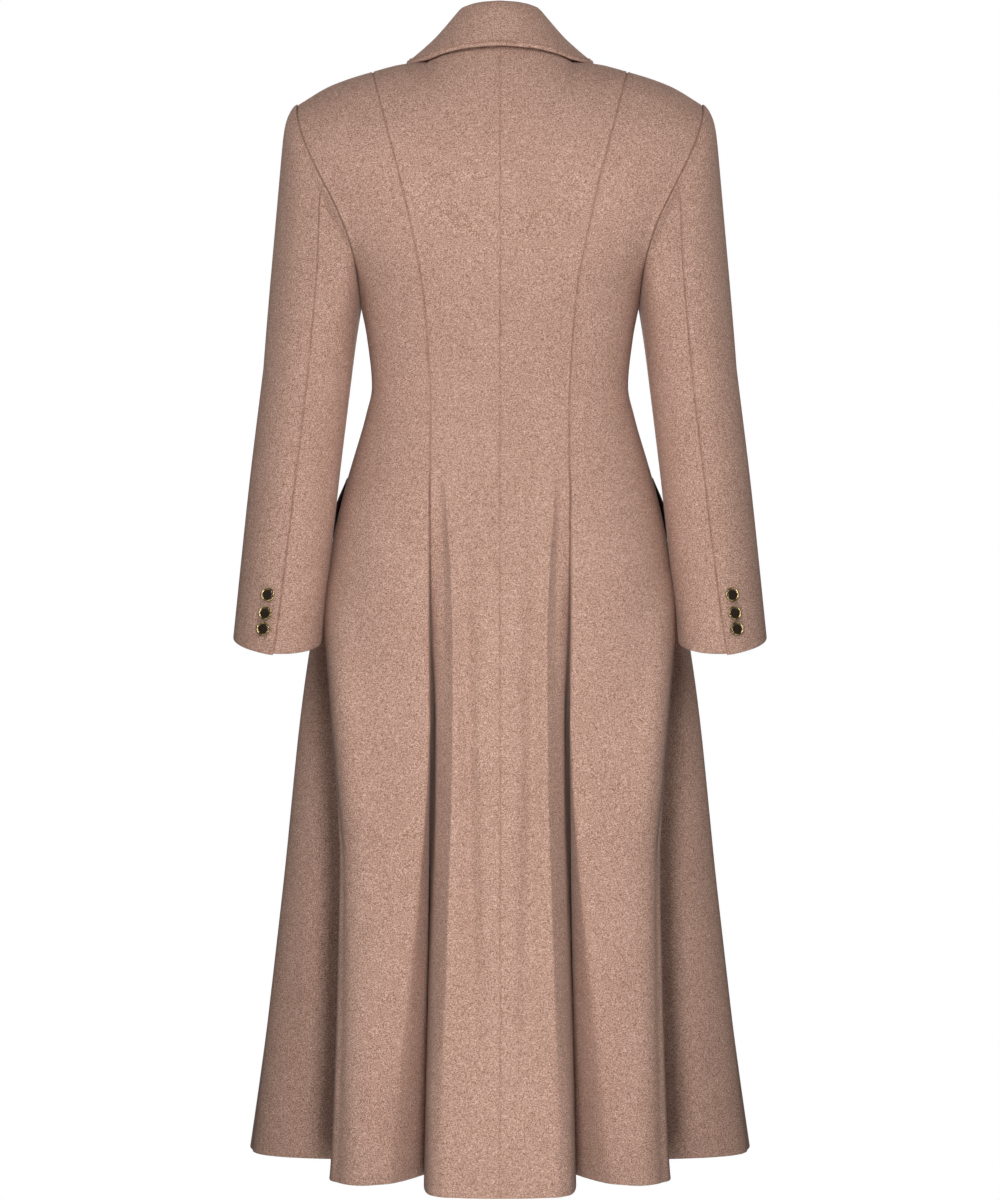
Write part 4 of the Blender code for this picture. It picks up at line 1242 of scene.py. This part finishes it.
class COAT_OT_buttons(Operator):
    """Build the buttons of the cuffs and the front"""

    bl_idname = "coat.buttons"
    bl_label = "Buttons"

    def execute(self, context):
        trim = context.scene.coat_trim
        materials = [brass_material(trim), dark_face_and_side_shade_material(trim)]
        for side, word in SIDES:
            mirror = np.array([side, 1.0, 1.0])
            for number, z in enumerate(CUFF_BUTTON_Z, 1):
                down = CAP_SHARE + (1 - CAP_SHARE) * (UPPER_ARM - z) / (UPPER_ARM - CUFF + CUFF_TILT)
                turn = back_seam_turn(down) + CUFF_BUTTON_INSET
                place = sleeve(turn, down) * mirror
                facing = normals(sleeve, turn, down, (-2, 2), (0, 1)) * mirror
                node = f"cuff_button_{word}_{number}"
                thing = turned_button(f"brass_{node}", place, facing, trim.cuff_button, materials)
                dress(thing, node)
        for number, z in enumerate(FRONT_BUTTON_Z, 1):
            low, high = (front_centre(z + way * FRONT_BUTTON_SLOPE) for way in (-1, 1))
            place = front_centre(z)
            facing = np.array([0.0, low[2] - high[2], high[1] - low[1]])
            node = f"front_button_{number}"
            thing = turned_button(f"brass_{node}", place, facing, trim.front_button, materials)
            dress(thing, node)
        return {"FINISHED"}


def front_centre(z):
    """Point of the upper front on the centre line at a height, below or above the underarm."""
    v = np.linspace(0, 2, CENTRE_SAMPLES)
    line = body(np.full_like(v, FRONT_CENTRE), v, False)
    return np.array([0.0, np.interp(z, line[:, 2], line[:, 1]), z])


def new_material(name, sockets):
    """A material with its shader's sockets set, and the object's own coordinates."""
    material = bpy.data.materials.new(name)
    material.use_nodes = True
    tree = material.node_tree
    shader = tree.nodes["Principled BSDF"]
    for socket, value in sockets.items():
        shader.inputs[socket].default_value = value
    coordinates = tree.nodes.new("ShaderNodeTexCoord")
    return material, tree, shader, coordinates.outputs["Object"]


def noise(tree, vector, scale, detail, roughness, stretch=(1.0, 1.0, 1.0)):
    """A noise pattern, stretched along the axes."""
    mapping = tree.nodes.new("ShaderNodeMapping")
    mapping.inputs["Scale"].default_value = stretch
    tree.links.new(vector, mapping.inputs["Vector"])
    texture = tree.nodes.new("ShaderNodeTexNoise")
    texture.inputs["Scale"].default_value = scale
    texture.inputs["Detail"].default_value = detail
    texture.inputs["Roughness"].default_value = roughness
    tree.links.new(mapping.outputs["Vector"], texture.inputs["Vector"])
    return texture.outputs["Fac"]


def ramp(tree, value, stops):
    """Colours along a value, from stops of a place and a colour."""
    node = tree.nodes.new("ShaderNodeValToRGB")
    elements = node.color_ramp.elements
    while len(elements) < len(stops):
        elements.new(0.5)
    for element, (place, colour) in zip(elements, stops):
        element.position = place
        element.color = (*colour, 1.0)
    tree.links.new(value, node.inputs["Fac"])
    return node.outputs["Color"]


def multiply(tree, first, second, share):
    """One colour darkened by another."""
    node = tree.nodes.new("ShaderNodeMix")
    node.data_type = "RGBA"
    node.blend_type = "MULTIPLY"
    node.inputs["Factor"].default_value = share
    tree.links.new(first, node.inputs["A"])
    tree.links.new(second, node.inputs["B"])
    return node.outputs["Result"]


def bump(tree, shader, height, strength, distance):
    """Relief from a height."""
    node = tree.nodes.new("ShaderNodeBump")
    node.inputs["Strength"].default_value = strength
    node.inputs["Distance"].default_value = distance
    tree.links.new(height, node.inputs["Height"])
    tree.links.new(node.outputs["Normal"], shader.inputs["Normal"])


def wool_material(cloth):
    """Heathered wool: light and dark fibres in fine specks, soft mottling and a raised nap."""
    known = bpy.data.materials.get("heathered_wool")
    if known:
        return known
    material, tree, shader, where = new_material("heathered_wool", {
        "Roughness": 0.95,
        "Specular IOR Level": 0.12,
        "Sheen Weight": 0.12,
        "Sheen Roughness": 0.45,
        "Sheen Tint": (0.95, 0.80, 0.72, 1.0),
    })
    fibres = noise(tree, where, scale=820.0, detail=2.0, roughness=0.7, stretch=(1.0, 1.0, 1.2))
    mottle = noise(tree, where, scale=330.0, detail=2.0, roughness=0.6, stretch=(0.9, 0.9, 1.3))
    cloud = noise(tree, where, scale=16.0, detail=2.0, roughness=0.5)
    colour = ramp(tree, fibres, (
        (0.36, cloth.dark_fibre),
        (0.50, cloth.camel),
        (0.66, cloth.light_fibre),
    ))
    colour = multiply(tree, colour, ramp(tree, mottle, (
        (0.30, (0.86, 0.84, 0.83)),
        (0.65, (1.0, 1.0, 1.0)),
    )), 1.0)
    colour = multiply(tree, colour, ramp(tree, cloud, (
        (0.35, (0.95, 0.94, 0.93)),
        (0.65, (1.0, 1.0, 1.0)),
    )), 1.0)
    tree.links.new(colour, shader.inputs["Base Color"])
    bump(tree, shader, fibres, strength=0.25, distance=0.0006)
    return material


def speckled_material(name, colour, specks, scale, detail, relief, sockets):
    """One colour in specks of a noise: darker and lighter shares of it along the noise, and a low relief."""
    material, tree, shader, where = new_material(name, sockets)
    pattern = noise(tree, where, scale, detail, roughness=0.6)
    stops = [(place, tuple(share * part for part in colour)) for place, share in specks]
    tree.links.new(ramp(tree, pattern, stops), shader.inputs["Base Color"])
    bump(tree, shader, pattern, *relief)
    return material


def painted_shade_flap_material(cloth):
    """Near-black brown with a fine weave: painted shade that stands for the shadow under and behind a
    standing flap.
    """
    return speckled_material(
        "painted_shade_flap_cloth", cloth.flap_shade_colour, specks=((0.3, 0.65), (0.7, 1.5)), scale=900.0, detail=2.0,
        relief=(0.3, 0.0004), sockets={"Roughness": 0.85, "Specular IOR Level": 0.2},
    )


def brass_material(trim):
    """Old brass, bright where it is worn and brown in its pits."""
    return speckled_material(
        "worn_brass", trim.brass, specks=((0.40, 0.45), (0.62, 1.0)), scale=700.0, detail=3.0,
        relief=(0.12, 0.0002), sockets={"Roughness": 0.09, "Metallic": 1.0},
    )


def dark_face_and_side_shade_material(trim):
    """Dark brown lacquer over brass on the face of a button; on its back and side the same dark colour is
    painted shade.
    """
    return speckled_material(
        "dark_face_and_painted_side_shade", trim.dark_face_and_side_shade, specks=((0.3, 0.6), (0.7, 1.5)), scale=420.0, detail=3.0,
        relief=(0.1, 0.0002), sockets={"Roughness": 0.3, "Metallic": 0.5},
    )


def white_material():
    """Plain white that shines by itself."""
    material = bpy.data.materials.new("studio_white")
    material.use_nodes = True
    tree = material.node_tree
    tree.nodes.clear()
    light = tree.nodes.new("ShaderNodeEmission")
    output = tree.nodes.new("ShaderNodeOutputMaterial")
    tree.links.new(light.outputs["Emission"], output.inputs["Surface"])
    return material


def studio_light(name, power, wide, high, place):
    """A flat light that faces the coat's middle line at its own height."""
    light = bpy.data.lights.new(name, "AREA")
    light.shape = "RECTANGLE"
    light.energy = power
    light.size = wide
    light.size_y = high
    lamp = bpy.data.objects.new(name, light)
    lamp.location = place
    lamp.rotation_euler = (math.pi / 2, 0.0, math.atan2(place[1], place[0]) + math.pi / 2)
    lamp.visible_camera = False
    bpy.context.scene.collection.objects.link(lamp)


class COAT_OT_stage(Operator):
    """Build the floor, the white surround, the lights and the camera"""

    bl_idname = "coat.stage"
    bl_label = "Studio"

    def execute(self, context):
        stage = context.scene.coat_stage
        scene = context.scene
        scene.view_settings.view_transform = "Standard"
        white = white_material()
        bpy.ops.mesh.primitive_uv_sphere_add(radius=SURROUND_RADIUS, segments=48, ring_count=24)
        surround = context.object
        surround.name = "white_surround"
        bpy.ops.mesh.primitive_circle_add(
            vertices=64, radius=FLOOR_RADIUS, fill_type="NGON",
            location=(0.0, 0.0, CAD_LOW.z - stage.floor_drop),
        )
        floor = context.object
        floor.name = "pale_floor"
        for thing in (surround, floor):
            thing.data.materials.append(white)
            thing.visible_diffuse = False
            thing.visible_glossy = False
            thing.visible_shadow = False
        across, deep, level = stage.side_place
        for side, way in (("back", 1), ("front", -1)):
            tall = (0.0, way * stage.key_distance, stage.key_level)
            broad = (0.0, way * stage.fill_distance, stage.fill_level)
            studio_light(f"{side}_key", stage.key_power, stage.key_width, stage.key_height, tall)
            studio_light(f"{side}_fill", stage.fill_power, stage.fill_size, stage.fill_size, broad)
            for hand, word in SIDES:
                place = (hand * across, way * deep, level)
                studio_light(f"{side}_{word}", stage.side_power, stage.side_size, stage.side_size, place)
        world = bpy.data.worlds.new("studio")
        world.use_nodes = True
        background = world.node_tree.nodes["Background"]
        background.inputs["Color"].default_value = (1.0, 1.0, 1.0, 1.0)
        background.inputs["Strength"].default_value = stage.ambient
        scene.world = world
        lens = bpy.data.cameras.new("photo_camera")
        lens.lens = stage.lens
        camera = bpy.data.objects.new("photo_camera", lens)
        camera.location = (0.0, stage.camera_back, stage.camera_height)
        camera.rotation_euler = (math.pi / 2, 0.0, math.pi)
        scene.collection.objects.link(camera)
        scene.camera = camera
        return {"FINISHED"}


class COAT_PT_panel(Panel):
    """The coat's pieces in the sidebar"""

    bl_label = "Fitted Wool Coat"
    bl_idname = "COAT_PT_panel"
    bl_space_type = "VIEW_3D"
    bl_region_type = "UI"
    bl_category = "Coat"

    def draw(self, context):
        column = self.layout.column()
        for operator in OPERATORS:
            column.operator(operator.bl_idname)


GROUPS = {"coat_cloth": CoatCloth, "coat_trim": CoatTrim, "coat_stage": CoatStage}
OPERATORS = (
    COAT_OT_body_panels,
    COAT_OT_sleeves,
    COAT_OT_collar,
    COAT_OT_pocket_flaps,
    COAT_OT_buttons,
    COAT_OT_stage,
)


def register():
    """Make the property groups, operators and panel known."""
    for group in (*GROUPS.values(), *OPERATORS, COAT_PT_panel):
        bpy.utils.register_class(group)
    for name, group in GROUPS.items():
        setattr(bpy.types.Scene, name, PointerProperty(type=group))


def unregister():
    """Take them out again."""
    for name in GROUPS:
        delattr(bpy.types.Scene, name)
    for group in (COAT_PT_panel, *reversed(OPERATORS), *reversed(GROUPS.values())):
        bpy.utils.unregister_class(group)


def main():
    """Build every piece."""
    register()
    bpy.ops.coat.body_panels()
    bpy.ops.coat.sleeves()
    bpy.ops.coat.collar()
    bpy.ops.coat.pocket_flaps()
    bpy.ops.coat.buttons()
    bpy.ops.coat.stage()


if __name__ == "__main__":
    main()
